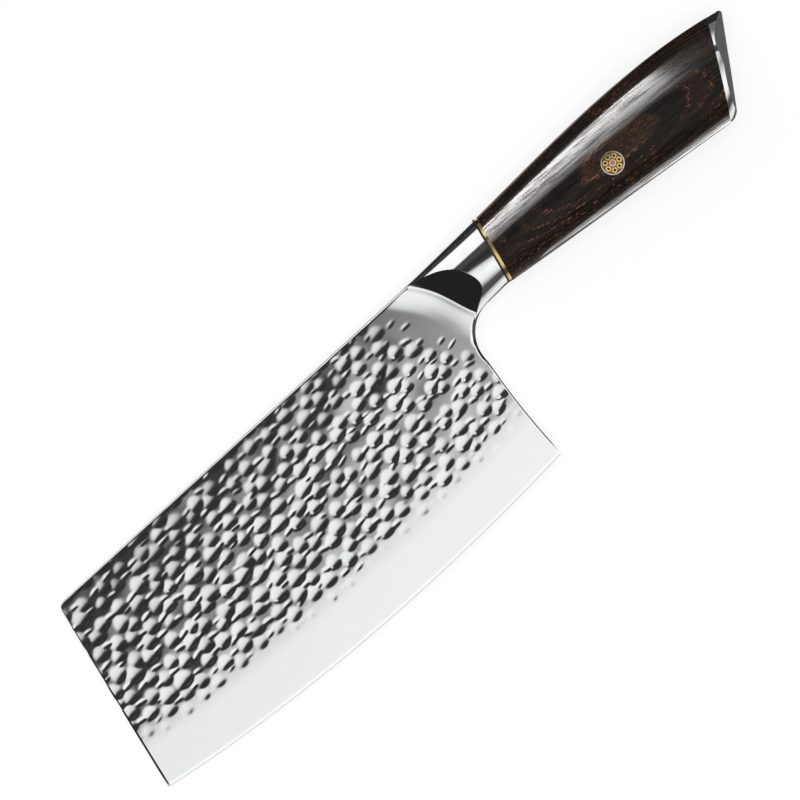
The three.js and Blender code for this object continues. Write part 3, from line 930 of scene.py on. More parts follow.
@dataclass(frozen=True)
class HammerMarks:
    """Hammer marks over one face of the blade, in millimetres.

    Attributes:
        seed: Start of the random draws.
        pitch: Spacing of the blows along the blade and from row to row; every other row is shifted by half.
        shift: Shift of all the rows along the blade, as a share of the pitch.
        wander: How far a blow lands from its place in the row, as a share of the pitch.
        radius: Least and greatest radius of a mark, up the blade.
        stretch: Least and greatest length of a mark along the blade, as a share of that radius.
        tilt: How far the marks turn from the length of the blade, in radians.
        depth: Least and greatest depth.
        lean: How far the deepest place of a mark lies towards the cutting edge, as a share of its radius.
        front_gain: How much larger the marks are at the front of the blade than at the heel.
        spine_fade: How much shallower they are at the spine, and how far below it that starts.
        roundness: Power of the marks' profile at the rim near the edge and at the one near the spine, lower
            for crisper rims.
        ricasso: Places behind the scoop's line, so negative ahead of it, between which the marks set in.
        base_depth: Share of a mark's depth that doesn't go with its radius.
        onset_chance: How fast blows become frequent where the marks set in.
        onset_depth: Least share of their depth there.
        spare_rows: How many rows lie below the heel corner, and how many more there are than fit the blade.
        spare_columns: The same along the blade, from beyond the toe.
    """

    seed: int
    pitch: Pair = (8.3, 4.2)
    shift: float = 0.0
    wander: float = 0.17
    radius: Pair = (1.8, 2.45)
    stretch: Pair = (0.95, 1.3)
    tilt: float = 0.3
    depth: Pair = (0.085, 0.15)
    lean: float = 0.3
    front_gain: float = 0.32
    spine_fade: Pair = (0.35, 30.0)
    roundness: Pair = (1.15, 1.3)
    ricasso: Pair = (-10.0, -22.0)
    base_depth: float = 0.4
    onset_chance: float = 1.6
    onset_depth: float = 0.35
    spare_rows: tuple[int, int] = (2, 6)
    spare_columns: tuple[int, int] = (3, 10)

    def sunk(self, x: Array, y: Array) -> Array:
        """How deep the marks go at points of the face.

        A mark's depth is its greatest depth times one minus the squared share of its radius, to the power
        of its roundness. The share up the blade is first bent, as (u + lean) / (1 + lean u), which moves the
        deepest place but not the rim. Where marks overlap the deeper one counts, which leaves a crest.

        Args:
            x: Distances from the heel corner.
            y: Heights above it.

        Returns:
            Depths below the plate's face.
        """
        draw = np.random.default_rng(self.seed)
        pitch, row_step = self.pitch
        (first_row, more_rows), (first_column, more_columns) = self.spare_rows, self.spare_columns
        first_x = -LAYOUT.blade_length - (first_column - self.shift) * pitch
        row_count = int(LAYOUT.blade_height / row_step) + more_rows
        shape = (row_count, int(LAYOUT.blade_length / pitch) + more_columns)
        rows, columns = np.indices(shape)
        angle = draw.uniform(0, 2 * math.pi, shape)
        reach = self.wander * pitch * np.sqrt(draw.uniform(0, 1, shape))
        centre_x = (columns + 0.5 * (rows % 2)) * pitch + first_x + reach * np.cos(angle)
        centre_y = (rows - first_row) * row_step + reach * np.sin(angle)
        gain = 1.0 + self.front_gain * np.clip(-centre_x / LAYOUT.blade_length, 0.0, 1.0)
        radius = draw.uniform(*self.radius, shape) * gain
        length = draw.uniform(*self.stretch, shape)
        turn = draw.uniform(-self.tilt, self.tilt, shape)
        depth = draw.uniform(*self.depth, shape)
        depth = depth * (self.base_depth + (1.0 - self.base_depth) * radius / self.radius[1])
        fade, below = self.spine_fade
        height = LAYOUT.blade_height
        depth = depth * (1.0 - fade * smooth_step(height - below, height, centre_y))
        chance = draw.uniform(0, 1, shape)
        setting_in = smooth_step(*self.ricasso, LAYOUT.behind_scoop(centre_x, centre_y))
        landed = self.onset_depth + (1.0 - self.onset_depth) * setting_in
        depth = depth * np.where(chance < self.onset_chance * setting_in, landed, 0.0)

        near_row = np.rint(y / row_step).astype(int) + first_row
        sunk = np.zeros_like(x)
        for row_offset in (-1, 0, 1):
            row = np.clip(near_row + row_offset, 0, shape[0] - 1)
            near_column = np.rint((x - first_x - 0.5 * (row % 2) * pitch) / pitch).astype(int)
            for column_offset in (-1, 0, 1):
                blow = row, np.clip(near_column + column_offset, 0, shape[1] - 1)
                east, north = x - centre_x[blow], y - centre_y[blow]
                along = (east * np.cos(turn[blow]) + north * np.sin(turn[blow])) / (radius * length)[blow]
                up = (north * np.cos(turn[blow]) - east * np.sin(turn[blow])) / radius[blow]
                power = np.interp(up, [-1.0, 1.0], self.roundness)
                up = np.clip(up, -1.0, 1.0)
                bent = (up + self.lean) / (1.0 + self.lean * up)
                inside = np.clip(1.0 - along**2 - bent**2, 0.0, None) ** power
                sunk = np.maximum(sunk, depth[blow] * inside)
        return sunk


@dataclass(frozen=True)
class LandWaves:
    """Soft waves that the hammering leaves between the marks, in millimetres.

    Attributes:
        seed: Start of the random draws.
        count: How many waves are added up.
        length: Least and greatest length of a wave.
        height: Height of the waves.
        ricasso: Places behind the scoop's line, so negative ahead of it, between which they set in.
    """

    seed: int
    count: int = 9
    length: Pair = (6.0, 19.0)
    height: float = 0.018
    ricasso: Pair = (-12.0, -20.0)

    def height_at(self, x: Array, y: Array) -> Array:
        """A sum of slanted sine waves, higher the longer they are, that sets in ahead of the scoop.

        Args:
            x: Distances from the heel corner.
            y: Heights above it.

        Returns:
            Heights above and below the plate's face.
        """
        draw = np.random.default_rng(self.seed)
        turns = draw.uniform(0, 2 * math.pi, (self.count, 2))
        lengths = draw.uniform(*self.length, self.count)
        waves = [
            np.sin((x * math.cos(turn) + y * math.sin(turn)) * 2 * math.pi / length + phase) * length
            for (turn, phase), length in zip(turns, lengths)
        ]
        onset = smooth_step(*self.ricasso, LAYOUT.behind_scoop(x, y))
        return self.height * np.sum(waves, axis=0) / np.sqrt(np.sum(lengths**2)) * onset


@dataclass
class Blade:
    """The hammered blade: a plate with a long bevel, a small edge bevel and broken corners.

    Attributes:
        toe_rise: Height of the toe above the heel corner.
        heel_straight: How far the heel pulls straight up, and choil_lead how far into the choil.
        bevel_straight: Height of the straight bevel, and bevel_blend that of the round blend above it.
        bevel_clear: How far the bevel then moves out past the plate, over clear_levels from the blend's end.
        soft: The corner between plate and bevel is worn round where they are less than this apart.
        behind_edge: Half thickness behind the edge bevel, which is edge_bevel high.
        edge_half: Half thicknesses at the edge and at the height edge_grind.
        choil_chamfer: Width that the heel's chamfer grows to between the choil_levels.
        deepest_cut: Greatest share of the half thickness that a rounding or chamfer takes.
        ground_onset: Depths over which the grinding shows, below the marks and below the plate.
        low_rows: Heights of the lowest rows of points above the edge; spine_steps and end_steps are the
            distances from the other rims.
        seeds: Starts of the random draws for the left and the right face.
    """

    toe_rise: float = 6.4
    toe_slope: float = math.radians(9.6)
    heel_slope: float = math.radians(4.1)
    front_rake: float = math.radians(11.1)
    front_corner: float = 3.0
    heel_straight: float = 26.0
    choil_lead: float = 4.0
    bevel_straight: float = 14.0
    bevel_blend: float = 10.0
    bevel_clear: float = 0.2
    clear_levels: Pair = (-2.0, 4.0)
    soft: float = 0.03
    behind_edge: float = 0.25
    edge_bevel: float = 1.2
    edge_half: Pair = (0.03, 0.15)
    edge_grind: float = 0.3
    spine_radius: float = 0.8
    front_chamfer: float = 0.75
    chamfer: float = 0.5
    choil_chamfer: float = 1.2
    choil_levels: Pair = (33.0, 51.0)
    chamfer_slope: float = 0.7
    deepest_cut: float = 0.8
    ground_onset: Pair = (0.05, 0.1)
    seeds: tuple[int, int] = (11, 47)
    crease: float = math.radians(50.0)
    edge_points: int = 241
    corner_half: int = 12
    heel_points: int = 61
    hollow_points: int = 41
    column_step: float = 0.68
    row_step: float = 0.43
    low_rows: tuple[float, ...] = (0.0, 0.3, 0.34, 0.8, 1.2, 1.3, 3.0, 6.0, 9.0, 11.5, 13.0)
    spine_steps: tuple[float, ...] = (0.0, 0.03, 0.09, 0.18, 0.3, 0.46, 0.64, 0.82)
    end_steps: tuple[float, ...] = (0.0, 0.25, 0.5, 0.75, 0.8, 1.2, 1.25)

    def edge_level(self, x: Array) -> Array:
        """Height of the cutting edge: a cubic curve with the given slopes at the heel and the toe.

        Args:
            x: Distances from the heel corner.

        Returns:
            Heights above the heel corner.
        """
        handle = LAYOUT.blade_length / 3
        heel_pull = -handle * math.tan(self.heel_slope)
        toe_pull = self.toe_rise - handle * math.tan(self.toe_slope)
        share = np.clip(-x / LAYOUT.blade_length, 0.0, 1.0)
        rest = 1.0 - share
        return 3 * rest**2 * share * heel_pull + 3 * rest * share**2 * toe_pull + share**3 * self.toe_rise

    def borders(self) -> tuple[Array, Array, Array, Array]:
        """The outline as four paths, each from low to high x or y.

        Returns:
            The cutting edge, the spine, the front edge, and the back with the heel and the choil.
        """
        length, height = LAYOUT.blade_length, LAYOUT.blade_height
        edge_x = np.linspace(-length, 0.0, self.edge_points)
        edge = np.stack([edge_x, self.edge_level(edge_x)], axis=-1)

        toe = edge[0]
        front_top = np.array([toe[0] + (height - self.toe_rise) * math.tan(self.front_rake), height])
        up_front = (front_top - toe) / np.linalg.norm(front_top - toe)
        start = front_top - self.front_corner * up_front
        end = front_top + [self.front_corner, 0.0]
        pulls = [point + (front_top - point) * 2 / 3 for point in (start, end)]
        corner = bezier([start, *pulls, end], np.linspace(0, 1, 2 * self.corner_half + 1))
        rear_x = LAYOUT.choil_centre[0]
        front = np.vstack([toe, corner[: self.corner_half + 1]])
        spine = np.vstack([corner[self.corner_half :], [rear_x, height]])

        centre, radius = LAYOUT.choil_centre, LAYOUT.choil_radius
        hollow_start = centre - [radius, 0.0]
        heel_pull = np.array([0.0, self.heel_straight])
        heel_curve = [np.zeros(2), heel_pull, hollow_start - [0.0, self.choil_lead], hollow_start]
        heel = bezier(heel_curve, np.linspace(0, 1, self.heel_points))
        turn = np.linspace(math.pi, math.pi / 2, self.hollow_points)[1:]
        hollow = centre + radius * np.stack([np.cos(turn), np.sin(turn)], axis=-1)
        back = np.vstack([heel, hollow, [rear_x, height]])
        return edge, spine, front, back

    def spread(self, low: tuple[float, ...], high: tuple[float, ...], span: Array, count: int) -> Array:
        """Shares across spans: fixed distances from both ends, and equal steps between.

        Args:
            low: Distances from the low end.
            high: Distances from the high end, largest first.
            span: Length of each span.
            count: How many steps lie between.

        Returns:
            Shares, with one row for each span.
        """
        first = np.asarray(low)[None, :] / span[:, None]
        last = 1.0 - np.asarray(high)[None, :] / span[:, None]
        even = np.linspace(0.0, 1.0, count + 1)[1:-1]
        middle = first[:, -1:] + (last[:, :1] - first[:, -1:]) * even[None, :]
        return np.hstack([first, middle, last])

    def outline_grid(self) -> tuple[Array, Array, Array]:
        """Points over the blade's outline, with their distances from the spine and from the ends.

        The points are a Coons patch: the sum of the blends between opposite borders, less the blend of the
        four corners. Rows follow the cutting edge below and the spine above.

        Returns:
            Points with two coordinates by row and column, distances from the spine by row, and distances
            from the front edge or the heel by column; distances beyond the rims are set to a large number.
        """
        edge, spine, front, back = self.borders()
        top, ends = self.spine_steps[::-1], self.end_steps
        columns = int((LAYOUT.blade_length + LAYOUT.choil_centre[0]) / self.column_step)
        rows = int((LAYOUT.blade_height - self.low_rows[-1]) / self.row_step)
        column_count = columns + 2 * len(ends) - 1
        row_count = rows + len(self.low_rows) + len(top) - 1

        even_u = np.linspace(0, 1, column_count)
        even_v = np.linspace(0, 1, row_count)
        heights = np.linalg.norm(along_path(spine, even_u) - along_path(edge, even_u), axis=-1)
        widths = np.linalg.norm(along_path(back, even_v) - along_path(front, even_v), axis=-1)
        v = self.spread(self.low_rows, top, heights, rows).T
        u = self.spread(ends, ends[::-1], widths, columns)

        across = (1 - v)[..., None] * along_path(edge, u) + v[..., None] * along_path(spine, u)
        up = (1 - u)[..., None] * along_path(front, v) + u[..., None] * along_path(back, v)
        corners = ((1 - u) * (1 - v))[..., None] * edge[0] + (u * (1 - v))[..., None] * edge[-1]
        corners = corners + ((1 - u) * v)[..., None] * front[-1] + (u * v)[..., None] * back[-1]
        from_spine = np.full(row_count, LAYOUT.blade_height)
        from_spine[-len(top):] = top
        from_ends = np.full(column_count, LAYOUT.blade_length)
        from_ends[: len(ends)] = ends
        from_ends[-len(ends):] = ends[::-1]
        return across + up - corners, from_spine, from_ends

    def bevel_half(self, rise: Array) -> Array:
        """Half thickness that the grinding leaves.

        It is a small bevel in two parts, a straight one, and a round blend to the plate.

        Args:
            rise: Heights above the cutting edge.

        Returns:
            Half thicknesses.
        """
        half_plate = LAYOUT.plate / 2
        run = self.bevel_straight - self.edge_bevel + self.bevel_blend / 2
        slope = (half_plate - self.behind_edge) / run
        straight = self.behind_edge + slope * (rise - self.edge_bevel)
        levels = [0.0, self.edge_grind, self.edge_bevel]
        small = np.interp(rise, levels, [*self.edge_half, self.behind_edge])
        left = np.clip(self.bevel_straight + self.bevel_blend - rise, 0.0, None)
        blend = half_plate - slope * left**2 / (2 * self.bevel_blend)
        half = np.where(rise < self.bevel_straight, straight, blend)
        return np.where(rise < self.edge_bevel, small, half)

    def face(self, plan: Array, from_spine: Array, from_ends: Array, seed: int) -> tuple[Array, Array, Array]:
        """Half thicknesses over one face.

        The face is the lower of the hammered plate and the bevel, with the corner between them worn round,
        and both thicken towards the scoop. The spine is rounded over by a quarter circle. The front edge and
        the heel have a straight chamfer, wider up the choil.

        Args:
            plan: Points of the outline grid.
            from_spine: Distances of its rows from the spine.
            from_ends: Distances of its columns from the front edge or the heel.
            seed: Start of the face's random draws.

        Returns:
            Half thicknesses, and from 0 to 1 how deep the marks are and how far the bevel is ground.
        """
        x, y = plan[..., 0], plan[..., 1]
        rise = np.clip(y - self.edge_level(x), 0.0, None)
        behind = LAYOUT.behind_scoop(x, y)
        marks = HammerMarks(seed)
        nicks = HammerMarks(
            seed + 1, shift=0.5, wander=0.2, radius=(0.5, 0.72), stretch=(2.4, 3.4), tilt=0.35,
            depth=(0.05, 0.09), roundness=(1.2, 1.3), ricasso=(-7.0, -20.0),
        )
        sunk = np.maximum(marks.sunk(x, y), nicks.sunk(x, y))
        swell = LAYOUT.swell(behind)
        plate = LAYOUT.plate / 2 + LandWaves(seed + 2).height_at(x, y) - sunk + swell
        start, end = (self.bevel_straight + self.bevel_blend + level for level in self.clear_levels)
        clear = self.bevel_clear * smooth_step(start, end, rise)
        swollen = swell * smooth_step(self.bevel_straight, 2 * self.bevel_straight, rise)
        bevel = self.bevel_half(rise) + swollen + clear
        worn_corner = self.soft / 4 * np.clip(1.0 - ((bevel - plate) / self.soft) ** 2, 0.0, None)
        half = np.minimum(plate, bevel) - worn_corner

        inside = np.clip(self.spine_radius - from_spine, 0.0, None)[:, None]
        rounded = self.spine_radius - np.sqrt(self.spine_radius**2 - inside**2)
        chamfer = np.full(plan.shape[:2], self.front_chamfer)
        half_way = plan.shape[1] // 2
        chamfer[:, half_way:] = self.chamfer
        widened = smooth_step(*self.choil_levels, y[:, half_way:])
        chamfer[:, half_way:] += (self.choil_chamfer - self.chamfer) * widened
        centre = LAYOUT.choil_centre
        from_hollow = np.hypot(x - centre[0], y - centre[1]) - LAYOUT.choil_radius
        from_edge = np.where(y > centre[1], np.minimum(from_ends[None, :], from_hollow), from_ends[None, :])
        cut = self.chamfer_slope * np.clip(chamfer - from_edge, 0.0, None)
        half = half - np.minimum(np.maximum(rounded, cut), self.deepest_cut * half)
        worn = LAYOUT.plate / 2 - self.bevel_half(rise)
        below_marks, below_plate = self.ground_onset
        ground = smooth_step(0.0, below_marks, plate - bevel) * smooth_step(0.0, below_plate, worn)
        hammered = np.where(plate < bevel, sunk, 0.0) / marks.depth[1]
        return half, hammered, ground

    def build(self, material: Material) -> Object:
        """Makes the blade: both faces over the same grid, joined by a strip round the outline.

        Args:
            material: The blade's steel.

        Returns:
            The piece.
        """
        plan, from_spine, from_ends = self.outline_grid()
        rows, columns = plan.shape[:2]
        sides, depths, grinds = [], [], []
        for face, seed in zip(Face, self.seeds):
            half, depth, ground = self.face(plan, from_spine, from_ends, seed)
            sides.append(np.concatenate([plan, (face.value * half)[..., None]], axis=-1).reshape(-1, 3))
            depths.append(depth.ravel())
            grinds.append(ground.ravel())

        index = np.arange(rows * columns).reshape(rows, columns)
        quads = np.stack([index[:-1, :-1], index[:-1, 1:], index[1:, 1:], index[1:, :-1]], axis=-1)
        quads = quads.reshape(-1, 4)
        rim = np.concatenate([index[0, :-1], index[:-1, -1], index[-1, :0:-1], index[:0:-1, 0]])
        following = np.roll(rim, -1)
        strip = np.stack([rim, rim + index.size, following + index.size, following], axis=-1)
        faces = np.concatenate([quads, quads[:, ::-1] + index.size, strip]).tolist()
        skin = (np.concatenate(sides), faces)
        piece = add_piece("blade", skin, material, Slot.BLADE_STEEL, self.crease)
        for name, values in (("hammer_depth", depths), ("ground", grinds)):
            attribute = piece.data.attributes.new(name, "FLOAT", "POINT")
            attribute.data.foreach_set("value", np.concatenate(values).astype(np.float32))
        return piece


@dataclass
class Bolster:
    """The polished bolster with a scoop in each cheek.

    Attributes:
        front_thickness: Width across its front, and front_power its superellipse power there.
        scoop_radius: Radius of the scoop's arc, and scoop_entry its angle at the start.
        fillet: Length of the fillet ahead of the arc.
        proud: How far the scoop's start stands above the blade.
        lip_start: How far down the scoop its lower end starts to climb, and lip_climb how fast it does.
        lip_fade: Places behind the scoop's line between which that climb sets in.
        front_reach: How far its hidden front runs on, and spine_sink how far it lies under the spine.
        tuck: How far the scoop runs on under the blade's face, and tuck_slope how steeply.
        step_power: How closely the scoop's rings gather towards the blade.
    """

    front_thickness: float = 10.0
    front_power: float = 1.8
    scoop_radius: float = 70.0
    scoop_entry: float = math.radians(23.0)
    fillet: float = 0.9
    proud: float = 0.015
    lip_start: float = 24.7
    lip_climb: float = 0.243
    lip_fade: Pair = (-0.5, 7.0)
    front_reach: float = 5.0
    spine_sink: float = 0.06
    tuck: float = 1.2
    tuck_slope: float = 0.2
    around: int = 192
    loft_steps: int = 72
    scoop_steps: int = 64
    step_power: float = 2.2
    search_steps: int = 900
    arc_points: int = 40

    def form(self, share: Array, angles: Array) -> Array:
        """The bolster before the scoops are ground: superellipses between the underside and the back.

        The underside is a straight line and then the choil's arc; width and power change evenly.

        Args:
            share: Shares from the spacers to the front, in any shape.
            angles: Angles round the section, in the same shape.

        Returns:
            Points with three coordinates last.
        """
        spacers, half = LAYOUT.spacers, LAYOUT.spacer_height / 2
        centre, radius = LAYOUT.choil_centre, LAYOUT.choil_radius
        turn = np.linspace(0.0, LAYOUT.scoop_rake, self.arc_points) + math.pi / 2
        arc = centre + radius * np.stack([np.cos(turn), np.sin(turn)], axis=-1)
        low = along_path(np.vstack([spacers.point(LAYOUT.bolster_rear, -half), arc]), share)
        rear_high = spacers.point(LAYOUT.bolster_rear, half)
        front_x = -LAYOUT.scoop_start - self.front_reach
        front_high = np.array([front_x, LAYOUT.blade_height - self.spine_sink])
        high = rear_high + (front_high - rear_high) * share[..., None]
        width = LAYOUT.front_width + (self.front_thickness - LAYOUT.front_width) * share
        power = LAYOUT.section_power + (self.front_power - LAYOUT.section_power) * share
        return superellipse(low, high, width, power, angles)

    def scoop_half(self, x: Array, y: Array) -> Array:
        """Half thickness that the scoop leaves.

        Behind the line where it leaves the blade the scoop is a small fillet and then an arc that climbs,
        and ahead of that line it falls under the blade's face. Its lower end climbs as a parabola, which
        leaves a lip.

        Args:
            x: Distances from the heel corner.
            y: Heights above it.

        Returns:
            Half thicknesses.
        """
        behind = LAYOUT.behind_scoop(x, y)
        onto = np.clip(behind - self.fillet / 2, self.fillet / 2, None)
        climb = np.clip(math.sin(self.scoop_entry) + onto / self.scoop_radius, 0.0, 1.0)
        arc = self.scoop_radius * (math.cos(self.scoop_entry) - np.sqrt(1.0 - climb**2))
        start = self.scoop_radius * (math.cos(self.scoop_entry) - math.sqrt(1.0 - float(climb.min()) ** 2))
        soft = start * (np.clip(behind, 0.0, self.fillet) / self.fillet) ** 2
        rise = np.where(behind < self.fillet, soft, arc)
        down = LAYOUT.down_scoop(x, y)
        lip = self.lip_climb * np.clip(down - self.lip_start, 0.0, None) ** 2
        lip = lip * smooth_step(*self.lip_fade, behind)
        base = LAYOUT.plate / 2 + float(LAYOUT.swell(np.zeros(1))[0]) + self.proud
        return base + rise + lip + self.tuck_slope * np.clip(behind, None, 0.0)

    def ridge_share(self, angles: Array) -> Array:
        """Where the scoop first cuts into the form, going from the spacers to the front.

        Args:
            angles: Angles round the section.

        Returns:
            Shares of the way to the front, 1 where the scoop cuts nothing.
        """
        steps = np.linspace(0.0, 1.0, self.search_steps)
        share, turn = np.meshgrid(steps, angles, indexing="ij")
        points = self.form(share, turn)
        room = self.scoop_half(points[..., 0], points[..., 1]) - np.abs(points[..., 2])
        first = np.argmax(room < 0.0, axis=0)
        column = np.arange(len(angles))
        before = room[np.maximum(first - 1, 0), column]
        part = before / (before - room[first, column] + TINY)
        cut = steps[np.maximum(first - 1, 0)] + part * (steps[1] - steps[0])
        return np.where(first > 0, cut, 1.0)

    def build(self, material: Material) -> Object:
        """Makes the bolster: the form up to the scoop's ridge, and the scoop from there into the blade.

        Args:
            material: The bolster's steel.

        Returns:
            The piece.
        """
        angles = turn_angles(self.around)
        ridge = self.ridge_share(angles)
        share = np.linspace(0.0, 1.0, self.loft_steps)[:, None] * ridge[None, :]
        cheek = self.form(share, np.broadcast_to(angles, share.shape))

        edge = cheek[-1]
        behind = LAYOUT.behind_scoop(edge[:, 0], edge[:, 1])
        goal = np.minimum(behind, 0.0) - self.tuck
        back = np.array([math.cos(LAYOUT.scoop_rake), math.sin(LAYOUT.scoop_rake)])
        shares = 1.0 - np.linspace(1.0, 0.0, self.scoop_steps)[1:, None] ** self.step_power
        run = shares * (goal - behind)[None, :]
        plane = edge[None, :, :2] + run[..., None] * back
        fall = self.scoop_half(plane[..., 0], plane[..., 1]) - self.scoop_half(edge[:, 0], edge[:, 1])
        half = np.clip(np.abs(edge[None, :, 2]) + fall, 0.0, None) * np.sign(edge[None, :, 2])
        scoop = np.concatenate([plane, half[..., None]], axis=-1)
        return add_piece("bolster", ring_skin(np.concatenate([cheek, scoop])), material, Slot.BOLSTER_STEEL)


@dataclass
class Spacers:
    """The black fibre spacer and the brass one."""

    around: int = 192
    steps: int = 5

    def plate(self, front: float, rear: float) -> Skin:
        """A slice of the handle's front section between two depths along the spacers' frame.

        Args:
            front: Depth of its front face.
            rear: Depth of its rear face.

        Returns:
            Points and faces.
        """
        depth = np.linspace(front, rear, self.steps)
        half = LAYOUT.spacer_height / 2
        low = LAYOUT.spacers.point(depth, -half)[:, None, :]
        high = LAYOUT.spacers.point(depth, half)[:, None, :]
        width = np.full((self.steps, 1), LAYOUT.front_width)
        power = np.full((self.steps, 1), LAYOUT.section_power)
        return ring_skin(superellipse(low, high, width, power, turn_angles(self.around)[None, :]))

    def build(self, finishes: dict[Slot, Material]) -> None:
        """Makes both spacers, with the glue lines closed.

        Args:
            finishes: The materials by slot.
        """
        places = {
            "fibre_spacer": (LAYOUT.bolster_rear, LAYOUT.fibre_rear, Slot.BLACK_FIBRE),
            "brass_spacer": (LAYOUT.fibre_rear, LAYOUT.brass_rear, Slot.BRASS),
        }
        for name, (front, rear, slot) in places.items():
            add_piece(name, self.plate(front, rear), finishes[slot], slot)


@dataclass
class Handle:
    """The laminated wood between the brass spacer and the end cap."""

    side_swell: float = 0.6
    back_arch: Pair = (2.2, 5.8)
    belly_arch: Pair = (-0.4, 0.0)
    around: int = 160
    stations: int = 150
    newton_steps: int = 5

    def profile(self, side: int) -> list[Array]:
        """Control points of the back or the belly.

        Args:
            side: 1 for the back, -1 for the belly.

        Returns:
            Four points of a cubic curve.
        """
        start = LAYOUT.spacers.point(LAYOUT.brass_rear, side * LAYOUT.spacer_height / 2)
        end = LAYOUT.butt.point(0.0, side * LAYOUT.butt_height / 2)
        first, second = self.back_arch if side > 0 else self.belly_arch
        lifts = ((1 / 3, first), (2 / 3, second))
        pulls = [start + (end - start) * share + [0.0, arch] for share, arch in lifts]
        return [start, *pulls, end]

    def width(self, share: Array) -> Array:
        """Width across the handle: an even taper with a swell, which is a parabola, between its ends."""
        taper = LAYOUT.front_width + (LAYOUT.butt_width - LAYOUT.front_width) * share
        return taper + 2 * self.side_swell * 4 * share * (1 - share)

    def end_run(self, side: int) -> float:
        """Slope of the back or belly at the butt, in the butt's frame.

        Args:
            side: 1 for the back, -1 for the belly.

        Returns:
            Rise per depth.
        """
        _, _, before, end = self.profile(side)
        run = end - before
        along = LAYOUT.butt.point(1.0, 0.0) - LAYOUT.butt.point(0.0, 0.0)
        up = LAYOUT.butt.point(0.0, 1.0) - LAYOUT.butt.point(0.0, 0.0)
        return float(run @ up / (run @ along))

    def crown(self, x: Array, y: Array) -> Array:
        """Half thickness of the handle at places on its side.

        The section through each place is found by Newton's steps on the side of the place to the section's
        line, and the superellipse gives the rest.

        Args:
            x: Distances from the heel corner.
            y: Heights above it.

        Returns:
            Half thicknesses.
        """
        place = np.stack([x, y], axis=-1)

        def offset(share: Array) -> tuple[Array, Array]:
            """Area between a place and its section's line, and how far up that line the place lies."""
            low = bezier(self.profile(-1), share)
            line = bezier(self.profile(1), share) - low
            reach = place - low
            area = reach[..., 0] * line[..., 1] - reach[..., 1] * line[..., 0]
            return area, np.sum(reach * line, axis=-1) / np.sum(line * line, axis=-1)

        share = (x - LAYOUT.spacers.centre[0]) / (LAYOUT.butt.centre[0] - LAYOUT.spacers.centre[0])
        small = 1e-4
        for _ in range(self.newton_steps):
            area = offset(share)[0]
            slope = (offset(share + small)[0] - area) / small
            share = share - area / slope
        up = np.abs(2 * offset(share)[1] - 1.0)
        power = LAYOUT.section_power
        return self.width(share) / 2 * (1.0 - up**power) ** (1.0 / power)

    def build(self, material: Material) -> Object:
        """Makes the handle: superellipses carried between the belly and the back.

        Args:
            material: The laminated wood.

        Returns:
            The piece.
        """
        share = np.linspace(0.0, 1.0, self.stations)
        low = bezier(self.profile(-1), share)[:, None, :]
        high = bezier(self.profile(1), share)[:, None, :]
        width = self.width(share)[:, None]
        power = np.full((self.stations, 1), LAYOUT.section_power)
        rings = superellipse(low, high, width, power, turn_angles(self.around)[None, :])
        return add_piece("handle_block", ring_skin(rings), material, Slot.LAMINATED_WOOD)


